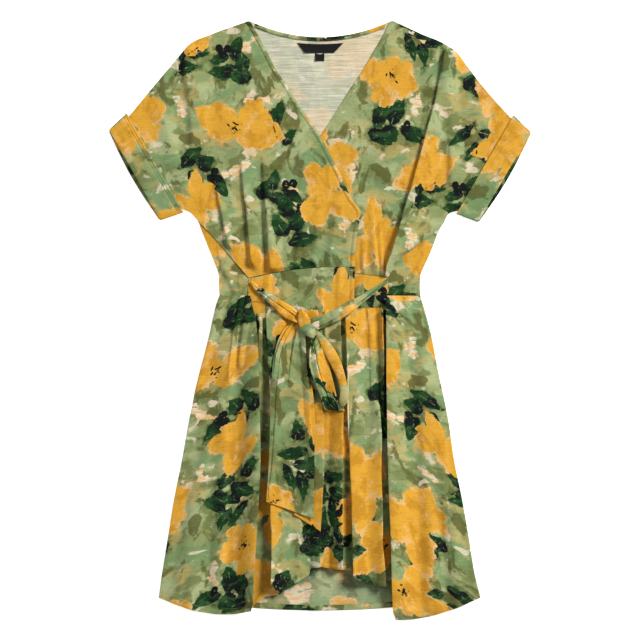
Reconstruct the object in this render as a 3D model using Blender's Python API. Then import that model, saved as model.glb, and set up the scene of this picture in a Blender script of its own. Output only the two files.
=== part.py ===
"""A wrap dress lying flat on its back, front side up, with its sash tied in a half bow.

Tables are in millimetres: x to the viewer's right from the middle of the dress, y up from the lowest point of
the hem, z up from the surface. Right and left in names are the wearer's, so the right front lies at -x.
"""

import math
from collections import namedtuple

import bpy
import bmesh
from mathutils import Vector
from mathutils.bvhtree import BVHTree

MM = 0.001

# Driving sizes
DRESS_LENGTH = 943.0  # neck point to lowest hem
WALL = 1.2  # one layer of cloth
TRIM_WALL = 1.0  # binding, hem turning, label
GAP = 0.3  # air between two pieces
LAYER = WALL + GAP
REST_GAP = 0.5  # air under what is draped over folds
SASH_REACH = 7.0  # the sash bridges hollows narrower than twice this
HEM_TURNING = 9.0
NECK_BINDING = 6.5
FADE = 22.0  # how far a fold runs out past its ends
EDGE_MARGIN = 12.0  # a layer is fully lifted this far before the edge of the one under it
RAMP = 16.0  # length of that lift
SLEEVE_RAMP = 60.0  # length of a sleeve's rise on to its cuff's lower layer

Section = namedtuple("Section", "left_x left_y right_x right_y bow")
Fold = namedtuple("Fold", "top_x top_y foot_x foot_y bow left right top_height foot_height")
Swell = namedtuple("Swell", "x y reach_x reach_y height")
Edge = namedtuple("Edge", "y x")
Outline = namedtuple("Outline", "y left_inner left right right_inner")
Corner = namedtuple("Corner", "x y")
Station = namedtuple("Station", "x y width puff")

# Sections across each piece, from its left edge to its right edge; bow lifts the middle.
BACK_BODICE = [
    Section(-112, 943, 113, 943, -26),
    Section(-169, 922, 159, 922, -25),
    Section(-206, 905, 198, 905, -27),
    Section(-220, 889, 216, 892, -33),
    Section(-235, 871, 228, 876, -37),
    Section(-266, 834, 258, 837, -24),
    Section(-300, 793, 300, 790, -7),
    Section(-325, 767, 325, 764, 3),
    Section(-287, 702, 286, 698, 52),
    Section(-249, 640, 247, 637, 102),
    Section(-215, 646, 215, 643, 76),
    Section(-205, 641, 203, 639, 44),
    Section(-194, 630, 191, 619, 12),
    Section(-183, 604, 176, 583, 1),
    Section(-167, 564, 160, 547, 2),
    Section(-159, 542, 158, 541, 0),
    Section(-158, 510, 158, 510, 0),
]
FRONT_RIGHT_BODICE = [
    Section(-114, 941, -109, 940, 0),
    Section(-169, 922, -99, 922, 0),
    Section(-206, 905, -90, 905, 0),
    Section(-220, 889, -80, 886, 0),
    Section(-235, 871, -71, 868, 0),
    Section(-266, 834, -50, 838, 0),
    Section(-300, 793, -32, 807, 1),
    Section(-325, 767, -19, 790, 4),
    Section(-287, 702, 0, 761, 7),
    Section(-249, 640, 17, 730, 12),
    Section(-215, 646, 25, 714, 6),
    Section(-205, 641, 36, 692, 2),
    Section(-194, 630, 50, 662, 0),
    Section(-175, 610, 64, 642, 0),
    Section(-154, 587, 60, 616, -1),
    Section(-133, 562, 56, 582, 0),
    Section(-112, 538, 55, 555, 6),
]
FRONT_LEFT_BODICE = [
    Section(110, 941, 116, 942, 0),
    Section(101, 922, 159, 922, 0),
    Section(91, 905, 198, 905, 0),
    Section(80, 886, 216, 892, 0),
    Section(71, 870, 228, 876, 0),
    Section(50, 838, 258, 837, 1),
    Section(30, 807, 300, 790, 3),
    Section(19, 790, 325, 764, 6),
    Section(0, 760, 286, 698, 11),
    Section(-17, 730, 247, 637, 14),
    Section(-25, 714, 215, 643, 7),
    Section(-36, 692, 203, 639, 3),
    Section(-50, 662, 191, 619, 6),
    Section(-63, 641, 172, 603, 4),
    Section(-60, 616, 150, 586, 0),
    Section(-55, 582, 126, 568, -3),
    Section(-54, 553, 107, 539, 2),
]
# The back's sides, turned to the front between underarm and waist, run on under the fronts' side seams.
RIGHT_TURN_SECTIONS = [
    Section(-189, 619, -179, 620, 0),
    Section(-183, 604, -158, 608, -1),
    Section(-167, 564, -123, 571, 0),
    Section(-159, 544, -108, 547, 0),
    Section(-159, 527, -108, 530, 0),
    Section(-158, 510, -109, 516, -1),
]
LEFT_TURN_SECTIONS = [
    Section(176, 610, 184, 607, 0),
    Section(153, 597, 176, 583, 1),
    Section(120, 572, 160, 547, -2),
    Section(111, 545, 158, 539, 0),
    Section(110, 531, 156, 523, 0),
    Section(108, 517, 158, 510, -2),
]
RIGHT_BAND = [
    Section(-106, 537.5, 55, 554.5, 6),
    Section(-107, 509, 54, 520, 2),
    Section(-102, 482, 54, 490, 1),
]
LEFT_BAND = [
    Section(-54, 552, 106, 538.5, 2),
    Section(-54, 520, 105.5, 519, -1),
    Section(-54, 489, 105, 492, -1),
]
FRONT_RIGHT_SKIRT = [
    Section(-102, 481.5, 54, 489.5, 1),
    Section(-109, 446, 54, 446, 0),
    Section(-108, 391, 53, 391, 0),
    Section(-106, 314, 53, 314, 0),
    Section(-105, 252, 52, 252, 0),
    Section(-108, 188, 51, 188, 3),
    Section(-112, 125, 51, 137, 9),
    Section(-115, 70, 51, 101, 20),
    Section(-117, 17, 50, 76, 17),
]
FRONT_LEFT_SKIRT = [
    Section(-54, 488.5, 106, 491.5, -1),
    Section(-54, 446, 115, 446, 0),
    Section(-54, 391, 115, 391, 0),
    Section(-54, 314, 117, 314, 0),
    Section(-54, 252, 118, 252, 0),
    Section(-54, 188, 121, 188, 3),
    Section(-54, 137, 123, 125, 5),
    Section(-54, 101, 126, 70, 8),
    Section(-54, 78, 129, 31, 14),
]
# The back skirt: its turned sides' inner edges, where the side seams show, and its outline.
BACK_SKIRT = [
    Outline(509.7, -109, -158, 158, 107),
    Outline(487, -105.5, -164, 164, 107.5),
    Outline(446, -101, -173, 175, 108),
    Outline(391, -99, -188, 186, 108),
    Outline(314, -97, -206, 202, 109),
    Outline(252, -96, -217, 211, 110),
    Outline(188, -99, -230, 224, 112),
    Outline(125, -103, -240, 235, 115),
    Outline(70, -107, -249, 244, 117),
    Outline(34, -108, -254, 253, 119),
]
# The hem hangs below the last outline row, first in the rows under HEM_DROP_START.
BACK_HEM_SAG = 20.0
HEM_DROP_START = 150.0
TURN_COLUMNS = 13
BACK_COLUMNS = 6
BACK_SKIRT_ROW_STEP = 42.0
BEND_ROOM = WALL + GAP / 2

# Folds that run down a piece: crest at top and foot, bow of the crest line, reach to each side, heights.
RIGHT_FOLDS = [
    Fold(-228, 876, -214, 762, 4, 9, 16, 4.0, 2.0),
    Fold(-150, 780, -139, 640, 0, 20, 14, 2.0, 3.0),
    Fold(-120, 720, -106, 560, 0, 16, 12, 2.0, 4.5),
    Fold(-84, 700, -89, 552, 0, 14, 9, 2.0, 5.0),
    Fold(-52, 690, -62, 556, 0, 14, 12, 1.0, 3.0),
    Fold(10, 700, 8, 562, 0, 30, 18, 1.0, 2.0),
]
LEFT_FOLDS = [
    Fold(208, 904, 113, 540, 6, 11, 26, 4.0, 8.0),
    Fold(78, 640, 88, 556, 0, 7, 7, 2.0, 3.0),
    Fold(92, 622, 98, 550, 0, 6, 6, 1.0, 3.0),
    Fold(248, 800, 214, 700, 0, 20, 12, 1.5, 2.0),
]
SKIRT_FOLDS = [
    Fold(-88, 480, -86, 385, -1, 7, 8, 6.0, 5.0),
    Fold(-84, 300, -84, 60, 0, 8, 7, 2.0, 3.0),
    Fold(-72, 484, -72, 250, 0, 8, 9, 5.0, 3.0),
    Fold(-66, 150, -68, 24, 0, 8, 9, 4.0, 7.0),
    Fold(-52, 484, -50, 60, 0, 9, 9, 5.0, 3.0),
    Fold(-30, 486, -26, 90, 0, 11, 10, 4.0, 4.0),
    Fold(-6, 486, 2, 84, 0, 11, 10, 5.0, 5.0),
    Fold(16, 486, 22, 84, 0, 8, 9, 5.0, 6.0),
    Fold(46, 480, 45, 250, 0, 8, 8, 4.0, 3.0),
]
LEFT_SKIRT_FOLDS = [
    Fold(68, 488, 74, 50, 0, 10, 13, 4.0, 5.0),
    Fold(86, 488, 92, 60, 0, 7, 8, 2.0, 4.0),
    Fold(97, 488, 99, 335, 0, 5, 4, 6.0, 4.0),
]
RIGHT_TURN_FOLDS = [
    Fold(-118, 500, -121, 40, -2, 15, 12, 3.0, 6.0),
    Fold(-133, 470, -160, 30, -4, 12, 16, 3.0, 5.0),
    Fold(-150, 490, -194, 360, 0, 10, 9, 2.5, 1.5),
    Fold(-160, 330, -206, 20, -6, 22, 24, 2.0, 5.0),
]
LEFT_TURN_FOLDS = [
    Fold(116, 500, 127, 16, 0, 8, 22, 5.0, 7.0),
    Fold(142, 490, 171, 20, 4, 18, 22, 3.0, 5.0),
    Fold(156, 440, 214, 20, 6, 18, 24, 1.5, 4.0),
]
BAND_FOLDS = [
    Fold(-3, 556, 0, 486, 0, 13, 12, 1.5, 2.0),
    Fold(-80, 552, -84, 482, 0, 10, 10, 1.5, 2.0),
]
TURN_FOLDS = [
    Fold(-148, 545, -134, 516, 0, 10, 10, 1.5, 1.5),
    Fold(144, 540, 134, 516, 0, 10, 10, 1.5, 1.5),
]
# Broad swells that every front layer shares, so that stacked layers stay parallel.
SWELLS = [
    Swell(-120, 760, 95, 110, 3.0),
    Swell(120, 760, 95, 110, 3.0),
    Swell(-60, 640, 80, 90, 3.0),
    Swell(60, 640, 80, 90, 3.0),
    Swell(0, 300, 190, 330, 4.0),
    Swell(0, 120, 210, 200, 2.0),
]
# Hidden edge of the left front under the right one, top to bottom.
UNDER_EDGE = [
    Edge(942, 110),
    Edge(838, 50),
    Edge(760, 0),
    Edge(641, -63),
    Edge(582, -55),
    Edge(553, -54),
    Edge(60, -54),
]
# Hidden side edges of the front skirts under the back's turned sides.
RIGHT_SKIRT_EDGE = [
    Edge(520, -100),
    Edge(481, -103),
    Edge(446, -109),
    Edge(314, -106),
    Edge(188, -108),
    Edge(0, -119),
]
LEFT_SKIRT_EDGE = [
    Edge(520, 104),
    Edge(491, 106),
    Edge(446, 115),
    Edge(252, 118),
    Edge(70, 126),
    Edge(0, 131),
]
# Side seam edges of the front bodices over the back's turned sides.
RIGHT_TURN_EDGE = [Edge(628, -186), Edge(608, -158), Edge(571, -123), Edge(547, -108), Edge(500, -109)]
LEFT_TURN_EDGE = [Edge(618, 184), Edge(597, 153), Edge(572, 120), Edge(545, 111), Edge(500, 108)]

# Cuff corners: inner edge at the shoulder and underarm sides, then the outer edge.
CUFF_RIGHT = [Corner(-304, 797), Corner(-215, 641), Corner(-332, 771), Corner(-251, 628.5)]
CUFF_LEFT = [Corner(304.5, 794), Corner(214.5, 638.5), Corner(332, 767.5), Corner(248.5, 625.5)]
CUFF_HEIGHT = 3 * WALL + 4 * GAP + WALL
CUFF_PUFF = 1.5

KNOT = Station(-20, 467, 27, 13)
TIE_RIGHT_STRAND = [
    Section(-108, 527, -98, 530, 0),
    Section(-90, 508, -77, 514, 0),
    Section(-69, 491, -58, 499, 0),
    Section(-50, 474, -44, 488, 0),
]
TIE_LEFT_STRAND = [
    Section(107, 539, 105, 526.5, 0),
    Section(84, 521, 88, 506, 0),
    Section(63, 512, 70, 500, 0),
    Section(32, 497, 47, 483, 0),
    Section(14, 485, 22, 468, 0),
    Section(2, 479, 8, 462, 0),
]
TIE_RIGHT_TAIL = [
    Section(-44, 452, -32, 446, 0),
    Section(-62, 446, -26, 432, 0),
    Section(-71, 420, -20, 402, 0),
    Section(-77, 360, -11, 358, 0),
    Section(-78, 314, -8, 314, 0),
    Section(-80, 250, -9, 248, 0),
    Section(-84, 187, -10, 160, 0),
]
TIE_LEFT_TAIL = [
    Section(-28, 444, -12, 445, 0),
    Section(-30, 400, -8, 400, 0),
    Section(-40, 340, 3, 340, 0),
    Section(-40, 250, 7, 250, 0),
    Section(-40, 190, 4, 190, 0),
    Section(-40, 166, 1, 140, 0),
]
TAIL_FOLDS = [
    Fold(-48, 446, -62, 200, 0, 9, 9, 3.0, 2.0),
    Fold(-34, 440, -34, 260, 0, 8, 8, 4.0, 1.0),
    Fold(-24, 420, -14, 260, 0, 7, 6, 3.0, 2.0),
]
TIE_LOOP = [
    Station(-4, 446, 14, 3),
    Station(4, 424, 34, 5),
    Station(16, 396, 50, 7),
    Station(23, 366, 45, 6),
    Station(27, 344, 32, 3),
]
LOOP_STEPS = 3  # rows from one station to the next
LOOP_HOLLOW = 2.8  # air inside the loop at its sides

NECK_LABEL = [Section(-36, 905.5, 37, 905.5, -2), Section(-24, 890, 22, 890, 0)]
SIZE_TAB = [Section(-8, 889.5, 7, 889.5, 0), Section(-8, 877, 7, 877, 0)]

# Print grounds and trims: red, green, blue, roughness
SAGE = (0.30, 0.42, 0.21, 0.9)
MUSTARD = (0.74, 0.38, 0.04, 0.9)
LEAF = (0.04, 0.12, 0.06, 0.9)
WRONG_SIDE = (0.72, 0.66, 0.50, 0.9)
LABEL_BLACK = (0.01, 0.01, 0.012, 0.6)

laid = []  # search trees of the pieces made so far, for what is draped on them


def mix(first, second, share):
    return first + (second - first) * share


def smooth(share):
    """0 below 0, 1 above 1, and a soft step between."""
    share = min(max(share, 0.0), 1.0)
    return share * share * (3 - 2 * share)


def bump(share):
    """1 at 0, falling softly to 0 at -1 and 1."""
    if abs(share) >= 1:
        return 0.0
    return math.cos(share * math.pi / 2) ** 2


def edge_at(edge, y):
    """The x of an edge table at a height."""
    if y >= edge[0].y:
        return edge[0].x
    for upper, lower in zip(edge, edge[1:]):
        if y >= lower.y:
            return mix(upper.x, lower.x, (upper.y - y) / (upper.y - lower.y))
    return edge[-1].x


def fold_height(folds, x, y):
    total = 0.0
    for fold in folds:
        run = fold.top_y - fold.foot_y
        share = (fold.top_y - y) / run
        beyond = max(-share, share - 1, 0) * run
        share = min(max(share, 0.0), 1.0)
        crest = mix(fold.top_x, fold.foot_x, share) + fold.bow * 4 * share * (1 - share)
        reach = fold.left if x < crest else fold.right
        height = mix(fold.top_height, fold.foot_height, share)
        total += height * bump(beyond / FADE) * bump((x - crest) / reach)
    return total


def swell_height(x, y):
    return sum(s.height * bump((x - s.x) / s.reach_x) * bump((y - s.y) / s.reach_y) for s in SWELLS)


def cuff_share(corners, x, y):
    """0 on the sleeve, 1 inside its cuff, rising over the last centimetres before the cuff."""
    top, foot, outer_top = (Vector((c.x, c.y)) for c in corners[:3])
    along = (foot - top).normalized()
    outward = Vector((-along.y, along.x))
    if outward.dot(outer_top - top) < 0:
        outward = -outward
    place = Vector((x, y)) - top
    past_underarm = along.dot(place) - (foot - top).length
    beside = smooth((past_underarm + EDGE_MARGIN / 2) / SLEEVE_RAMP)
    return smooth((outward.dot(place) + EDGE_MARGIN + SLEEVE_RAMP) / SLEEVE_RAMP) * (1 - beside)


def sleeve_lift(x, y):
    """How far a sleeve layer rises for the cuff layer under it."""
    return LAYER * max(cuff_share(CUFF_RIGHT, x, y), cuff_share(CUFF_LEFT, x, y))


def hem_lift(x, y):
    """Room for the back's turned-up hem, between the turned sides."""
    inside = smooth((150 - abs(x)) / 20)
    return (TRIM_WALL + GAP) * inside * smooth((166 - y) / 120)


def front_floor(x, y):
    """Lower face of a layer that lies straight on the back."""
    calm = 1 - sleeve_lift(x, y) / LAYER
    return LAYER + sleeve_lift(x, y) + hem_lift(x, y) + swell_height(x, y) * calm


def right_front_floor(x, y):
    lift = smooth((x - edge_at(UNDER_EDGE, y) + EDGE_MARGIN + RAMP) / RAMP)
    if y > 500:
        over_turn = smooth((edge_at(RIGHT_TURN_EDGE, y) + EDGE_MARGIN + RAMP - x) / RAMP)
        lift = max(lift, over_turn * smooth((640 - y) / 12))
    return front_floor(x, y) + LAYER * lift


def left_front_floor(x, y):
    lift = 0.0
    if y > 500:
        over_turn = smooth((x - edge_at(LEFT_TURN_EDGE, y) + EDGE_MARGIN + RAMP) / RAMP)
        lift = over_turn * smooth((630 - y) / 12)
    return front_floor(x, y) + LAYER * lift


def right_turn_floor(x, y):
    lift = smooth((x - edge_at(RIGHT_SKIRT_EDGE, y) + EDGE_MARGIN + RAMP) / RAMP)
    return front_floor(x, y) + LAYER * lift


def left_turn_floor(x, y):
    lift = smooth((edge_at(LEFT_SKIRT_EDGE, y) + EDGE_MARGIN + RAMP - x) / RAMP)
    return front_floor(x, y) + LAYER * lift


def back_floor(x, y):
    return sleeve_lift(x, y)


TurnedSide = namedtuple("TurnedSide", "floor folds fold_line inner_line inward hem_drop hem_peak")
RIGHT_TURN = TurnedSide(right_turn_floor, RIGHT_TURN_FOLDS, "left", "left_inner", 1, 26.0, 0.7)
LEFT_TURN = TurnedSide(left_turn_floor, LEFT_TURN_FOLDS, "right", "right_inner", -1, 34.0, 0.92)


def section_point(section, share):
    x = mix(section.left_x, section.right_x, share)
    y = mix(section.left_y, section.right_y, share) + section.bow * 4 * share * (1 - share)
    return x, y


def lattice(sections, columns, row_step):
    """Rows of points across a piece, about row_step apart down its middle."""
    rows = []
    for upper, lower in zip(sections, sections[1:]):
        run = math.dist(section_point(upper, 0.5), section_point(lower, 0.5))
        steps = max(1, round(run / row_step))
        for step in range(steps):
            section = Section(*(mix(a, b, step / steps) for a, b in zip(upper, lower)))
            rows.append([section_point(section, c / columns) for c in range(columns + 1)])
    rows.append([section_point(sections[-1], c / columns) for c in range(columns + 1)])
    return rows


def upright_wall(height, x, y, wall):
    """Height of a wall measured straight up, so that it keeps its thickness on a slope."""
    step = 0.5
    slope_x = (height(x + step, y) - height(x - step, y)) / (2 * step)
    slope_y = (height(x, y + step) - height(x, y - step)) / (2 * step)
    return wall * min(math.sqrt(1 + slope_x * slope_x + slope_y * slope_y), 2.5)


def make_material(name, finish):
    material = bpy.data.materials.get(name)
    if material:
        return material
    material = bpy.data.materials.new(name)
    material.use_nodes = True
    shader = material.node_tree.nodes["Principled BSDF"]
    shader.inputs["Base Color"].default_value = (*finish[:3], 1)
    shader.inputs["Roughness"].default_value = finish[3]
    shader.inputs["Metallic"].default_value = 0.0
    material.diffuse_color = (*finish[:3], 1)
    return material


def shell(name, inner, outer, finish, ring=False):
    """One closed wall between two lattices of the same size; a ring joins its last column to its first."""
    rows = len(inner)
    columns = len(inner[0])
    count = rows * columns
    points = [p for row in inner for p in row] + [p for row in outer for p in row]
    faces = []
    spans = columns if ring else columns - 1
    for row in range(rows - 1):
        for column in range(spans):
            a = row * columns + column
            b = row * columns + (column + 1) % columns
            faces.append((a, b, b + columns, a + columns))
            faces.append((a + count, a + columns + count, b + columns + count, b + count))
    last = (rows - 1) * columns
    for column in range(spans):
        a, b = column, (column + 1) % columns
        faces.append((a, a + count, b + count, b))
        faces.append((last + a, last + b, last + b + count, last + a + count))
    if not ring:
        for row in range(rows - 1):
            a = row * columns
            b = a + columns - 1
            faces.append((a, a + columns, a + columns + count, a + count))
            faces.append((b, b + count, b + columns + count, b + columns))
    return make_object(name, points, faces, finish)


def make_object(name, points, faces, finish):
    mesh = bpy.data.meshes.new(name)
    middle = DRESS_LENGTH / 2
    mesh.from_pydata([(x * MM, (y - middle) * MM, z * MM) for x, y, z in points], [], faces)
    work = bmesh.new()
    work.from_mesh(mesh)
    bmesh.ops.recalc_face_normals(work, faces=work.faces)
    bmesh.ops.triangulate(work, faces=work.faces)
    work.to_mesh(mesh)
    laid.append(BVHTree.FromBMesh(work))
    work.free()
    mesh.shade_smooth()
    mesh.set_sharp_from_angle(angle=math.radians(50))
    mesh.materials.append(make_material(name + "_cloth", finish))
    thing = bpy.data.objects.new(name, mesh)
    bpy.context.scene.collection.objects.link(thing)
    return thing


def cloth(name, sections, columns, row_step, floor, folds, finish, wall):
    """A wall that lies on a floor function, with its own folds standing up from it."""

    def height(x, y):
        return floor(x, y) + fold_height(folds, x, y)

    rows = lattice(sections, columns, row_step)
    inner = [[(x, y, height(x, y)) for x, y in row] for row in rows]
    outer = [[(x, y, height(x, y) + upright_wall(height, x, y, wall)) for x, y in row] for row in rows]
    return shell(name, inner, outer, finish)


def top_of(x, y, reach):
    """The highest cloth within reach of a plan point."""
    top = 0.0
    middle = DRESS_LENGTH / 2
    around = [(0.0, 0.0)]
    around += [(r * reach, turn * math.pi / 5) for r in (0.35, 0.7, 1.0) for turn in range(10)]
    for away, turn in around:
        near_x = x + away * math.cos(turn)
        near_y = y + away * math.sin(turn)
        start = Vector((near_x * MM, (near_y - middle) * MM, 1.0))
        for tree in laid:
            place = tree.ray_cast(start, Vector((0, 0, -1)))[0]
            if place:
                top = max(top, place.z / MM)
    return top


def draped(name, sections, columns, row_step, folds, crown, finish):
    """A wall that rests on whatever is already laid; crown rounds it up along its middle."""
    rows = lattice(sections, columns, row_step)
    inner = []
    outer = []
    for row in rows:
        low_row = []
        high_row = []
        for column, (x, y) in enumerate(row):
            share = column / columns
            low = top_of(x, y, SASH_REACH) + REST_GAP + fold_height(folds, x, y)
            low_row.append((x, y, low))
            high_row.append((x, y, low + WALL + crown * 4 * share * (1 - share)))
        inner.append(low_row)
        outer.append(high_row)
    return shell(name, inner, outer, finish)


def make_cuff(name, corners, finish):
    """A flattened ring of cloth round the sleeve's two layers, open at both ends."""
    top_inner, foot_inner, top_outer, foot_outer = corners
    flat_steps = 8
    round_steps = 3
    inner = []
    outer = []
    for step in range(4):
        share = step / 3
        first = Vector((mix(top_inner.x, top_outer.x, share), mix(top_inner.y, top_outer.y, share)))
        last = Vector((mix(foot_inner.x, foot_outer.x, share), mix(foot_inner.y, foot_outer.y, share)))
        along = (last - first).normalized()
        length = (last - first).length
        puff = CUFF_PUFF * bump(share * 1.2 - 0.6)
        half = (CUFF_HEIGHT + GAP) / 2
        in_row = []
        out_row = []
        for side in (0, 1):
            for column in range(flat_steps + 1):
                travel = column / flat_steps if side == 0 else 1 - column / flat_steps
                place = first + along * (half + travel * (length - 2 * half))
                rise = puff * 4 * travel * (1 - travel) if side else 0.0
                out_z = 2 * half + rise if side else 0.0
                in_z = out_z - WALL if side else WALL
                in_row.append((place.x, place.y, in_z))
                out_row.append((place.x, place.y, out_z))
            centre = last - along * half if side == 0 else first + along * half
            outward = along if side == 0 else -along
            for turn in range(1, round_steps + 1):
                angle = math.pi * turn / (round_steps + 1)
                for row, radius in ((in_row, half - WALL), (out_row, half)):
                    spot = centre + outward * (radius * math.sin(angle))
                    lift = -radius * math.cos(angle) if side == 0 else radius * math.cos(angle)
                    row.append((spot.x, spot.y, half + lift))
        inner.append(in_row)
        outer.append(out_row)
    return shell(name, inner, outer, finish, ring=True)


def turned_columns(row, side, drop_share):
    """Lower and upper points of one turned side, from its fold to its inner edge."""
    lower = []
    upper = []

    def height(x, y):
        return side.floor(x, y) + fold_height(side.folds, x, y)

    for column in range(TURN_COLUMNS):
        share = column / (TURN_COLUMNS - 1)
        x = mix(getattr(row, side.fold_line) + side.inward * BEND_ROOM, getattr(row, side.inner_line), share)
        y = row.y - drop_share * side.hem_drop * math.sin(math.pi * share / (2 * side.hem_peak))
        low = height(x, y)
        lower.append((x, y, low))
        upper.append((x, y, low + upright_wall(height, x, y, WALL)))
    return lower, upper


def bend_points(x, y, inward, radius):
    """Points round the fold at the outline, from the top layer down to the back."""
    steps = 3
    angles = [math.pi * step / (steps + 1) for step in range(1, steps + 1)]
    middle = WALL + GAP / 2
    return [(x - inward * radius * math.sin(a), y, middle + radius * math.cos(a)) for a in angles]


def back_skirt_row(row, drop_share):
    """Inner and outer points across one row: right turn, its fold, the back, the other fold, left turn."""
    right_low, right_high = turned_columns(row, RIGHT_TURN, drop_share)
    left_low, left_high = turned_columns(row, LEFT_TURN, drop_share)
    right_x = row.left + BEND_ROOM
    left_x = row.right - BEND_ROOM
    back = []
    for column in range(BACK_COLUMNS + 1):
        share = column / BACK_COLUMNS
        sag = drop_share * BACK_HEM_SAG * math.sin(math.pi * share)
        back.append((mix(right_x, left_x, share), row.y - sag))
    inner = right_low[::-1] + bend_points(right_x, row.y, 1, GAP / 2)
    outer = right_high[::-1] + bend_points(right_x, row.y, 1, GAP / 2 + WALL)
    inner += [(x, y, WALL) for x, y in back]
    outer += [(x, y, 0.0) for x, y in back]
    inner += bend_points(left_x, row.y, -1, GAP / 2)[::-1] + left_low
    outer += bend_points(left_x, row.y, -1, GAP / 2 + WALL)[::-1] + left_high
    return inner, outer


def make_back_skirt():
    inner = []
    outer = []
    for upper, lower in zip(BACK_SKIRT, BACK_SKIRT[1:]):
        steps = max(1, round((upper.y - lower.y) / BACK_SKIRT_ROW_STEP))
        for step in range(steps):
            row = Outline(*(mix(a, b, step / steps) for a, b in zip(upper, lower)))
            pair = back_skirt_row(row, smooth((HEM_DROP_START - row.y) / (HEM_DROP_START - BACK_SKIRT[-1].y)))
            inner.append(pair[0])
            outer.append(pair[1])
    pair = back_skirt_row(BACK_SKIRT[-1], 1.0)
    inner.append(pair[0])
    outer.append(pair[1])
    return shell("back_skirt", inner, outer, SAGE)


def back_hem_y(x):
    last = BACK_SKIRT[-1]
    share = (x - last.left) / (last.right - last.left)
    return last.y - BACK_HEM_SAG * math.sin(math.pi * share)


def make_back_hem():
    """The hem's turning, on the inner face of the back skirt, between the turned sides."""
    inner = []
    outer = []
    columns = 16
    for height in (HEM_TURNING, 0.6):
        xs = [mix(-116, 128, c / columns) for c in range(columns + 1)]
        inner.append([(x, back_hem_y(x) + height, LAYER) for x in xs])
        outer.append([(x, back_hem_y(x) + height, LAYER + TRIM_WALL) for x in xs])
    return shell("back_hem", inner, outer, LEAF)


def make_neck_band():
    """Binding along the back neckline, on the inner face of the back."""
    top = BACK_BODICE[0]
    inner = []
    outer = []
    columns = 16
    for depth in (0.6, NECK_BINDING):
        row = [section_point(top, mix(0.045, 0.955, c / columns)) for c in range(columns + 1)]
        inner.append([(x, y - depth, LAYER) for x, y in row])
        outer.append([(x, y - depth, LAYER + TRIM_WALL) for x, y in row])
    return shell("back_neck_band", inner, outer, LEAF)


def flat_floor(level):
    def floor(x, y):
        return level

    return floor


def make_knot():
    """The knot: a rounded pad with pinched grooves, on the strands, tails and loop that run into it."""
    rings = 6
    sectors = 20
    peak = top_of(KNOT.x, KNOT.y, 8) + KNOT.puff

    def knot_point(angle, turn):
        groove = 1 - 0.10 * math.cos(3 * turn + 0.6) ** 2
        radius = math.sin(angle) ** 0.7 * groove
        x = KNOT.x + radius * KNOT.width * 0.92 * math.cos(turn)
        y = KNOT.y + radius * KNOT.width * 0.70 * math.sin(turn)
        low = top_of(x, y, 5) + REST_GAP
        return x, y, mix(low, max(peak, low + WALL), (1 - math.cos(angle)) / 2)

    points = []
    for ring in range(1, rings):
        for sector in range(sectors):
            points.append(knot_point(math.pi * ring / rings, 2 * math.pi * sector / sectors))
    low_pole = len(points)
    points.append((KNOT.x, KNOT.y, top_of(KNOT.x, KNOT.y, 5) + REST_GAP))
    points.append((KNOT.x, KNOT.y, peak))
    faces = []
    top_ring = (rings - 2) * sectors
    for sector in range(sectors):
        after = (sector + 1) % sectors
        faces.append((low_pole, after, sector))
        faces.append((top_ring + sector, top_ring + after, low_pole + 1))
        for ring in range(rings - 2):
            a = ring * sectors
            faces.append((a + sector, a + after, a + sectors + after, a + sectors + sector))
    return make_object("tie_knot", points, faces, MUSTARD)


def loop_stations():
    """The loop's stations with further ones between them."""
    stations = []
    for first, second in zip(TIE_LOOP, TIE_LOOP[1:]):
        for step in range(LOOP_STEPS):
            stations.append(Station(*(mix(a, b, step / LOOP_STEPS) for a, b in zip(first, second))))
    stations.append(TIE_LOOP[-1])
    return stations


def loop_end(first_rows, second_rows, along, reach):
    """The row halfway round the loop's turned end."""
    pairs = zip(first_rows[-1], second_rows[-1])
    return [(a[0] + along.x * reach, a[1] + along.y * reach, (a[2] + b[2]) / 2) for a, b in pairs]


def make_loop():
    """The bow's loop: one strip that runs down from the knot, turns over and comes back on top of itself."""
    columns = 6
    under_in, under_out, over_in, over_out = [], [], [], []
    stations = loop_stations()
    for index, station in enumerate(stations):
        before = stations[max(index - 1, 0)]
        after = stations[min(index + 1, len(stations) - 1)]
        along = Vector((after.x - before.x, after.y - before.y)).normalized()
        across = Vector((-along.y, along.x))
        rows = ([], [], [], [])
        for column in range(columns + 1):
            share = column / columns
            spot = Vector((station.x, station.y)) + across * station.width * (share - 0.5)
            low = top_of(spot.x, spot.y, SASH_REACH) + REST_GAP
            high = low + LOOP_HOLLOW + WALL + station.puff * 4 * share * (1 - share)
            for row, z in zip(rows, (low + WALL, low, high, high + WALL)):
                row.append((spot.x, spot.y, z))
        for rail, row in zip((under_in, under_out, over_in, over_out), rows):
            rail.append(row)
    turn_in = loop_end(under_in, over_in, along, LOOP_HOLLOW / 2)
    turn_out = loop_end(under_out, over_out, along, LOOP_HOLLOW / 2 + WALL)
    inner = under_in + [turn_in] + over_in[::-1]
    outer = under_out + [turn_out] + over_out[::-1]
    return shell("tie_loop", inner, outer, LEAF)


def clear_scene():
    for thing in list(bpy.data.objects):
        bpy.data.objects.remove(thing, do_unlink=True)


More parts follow.
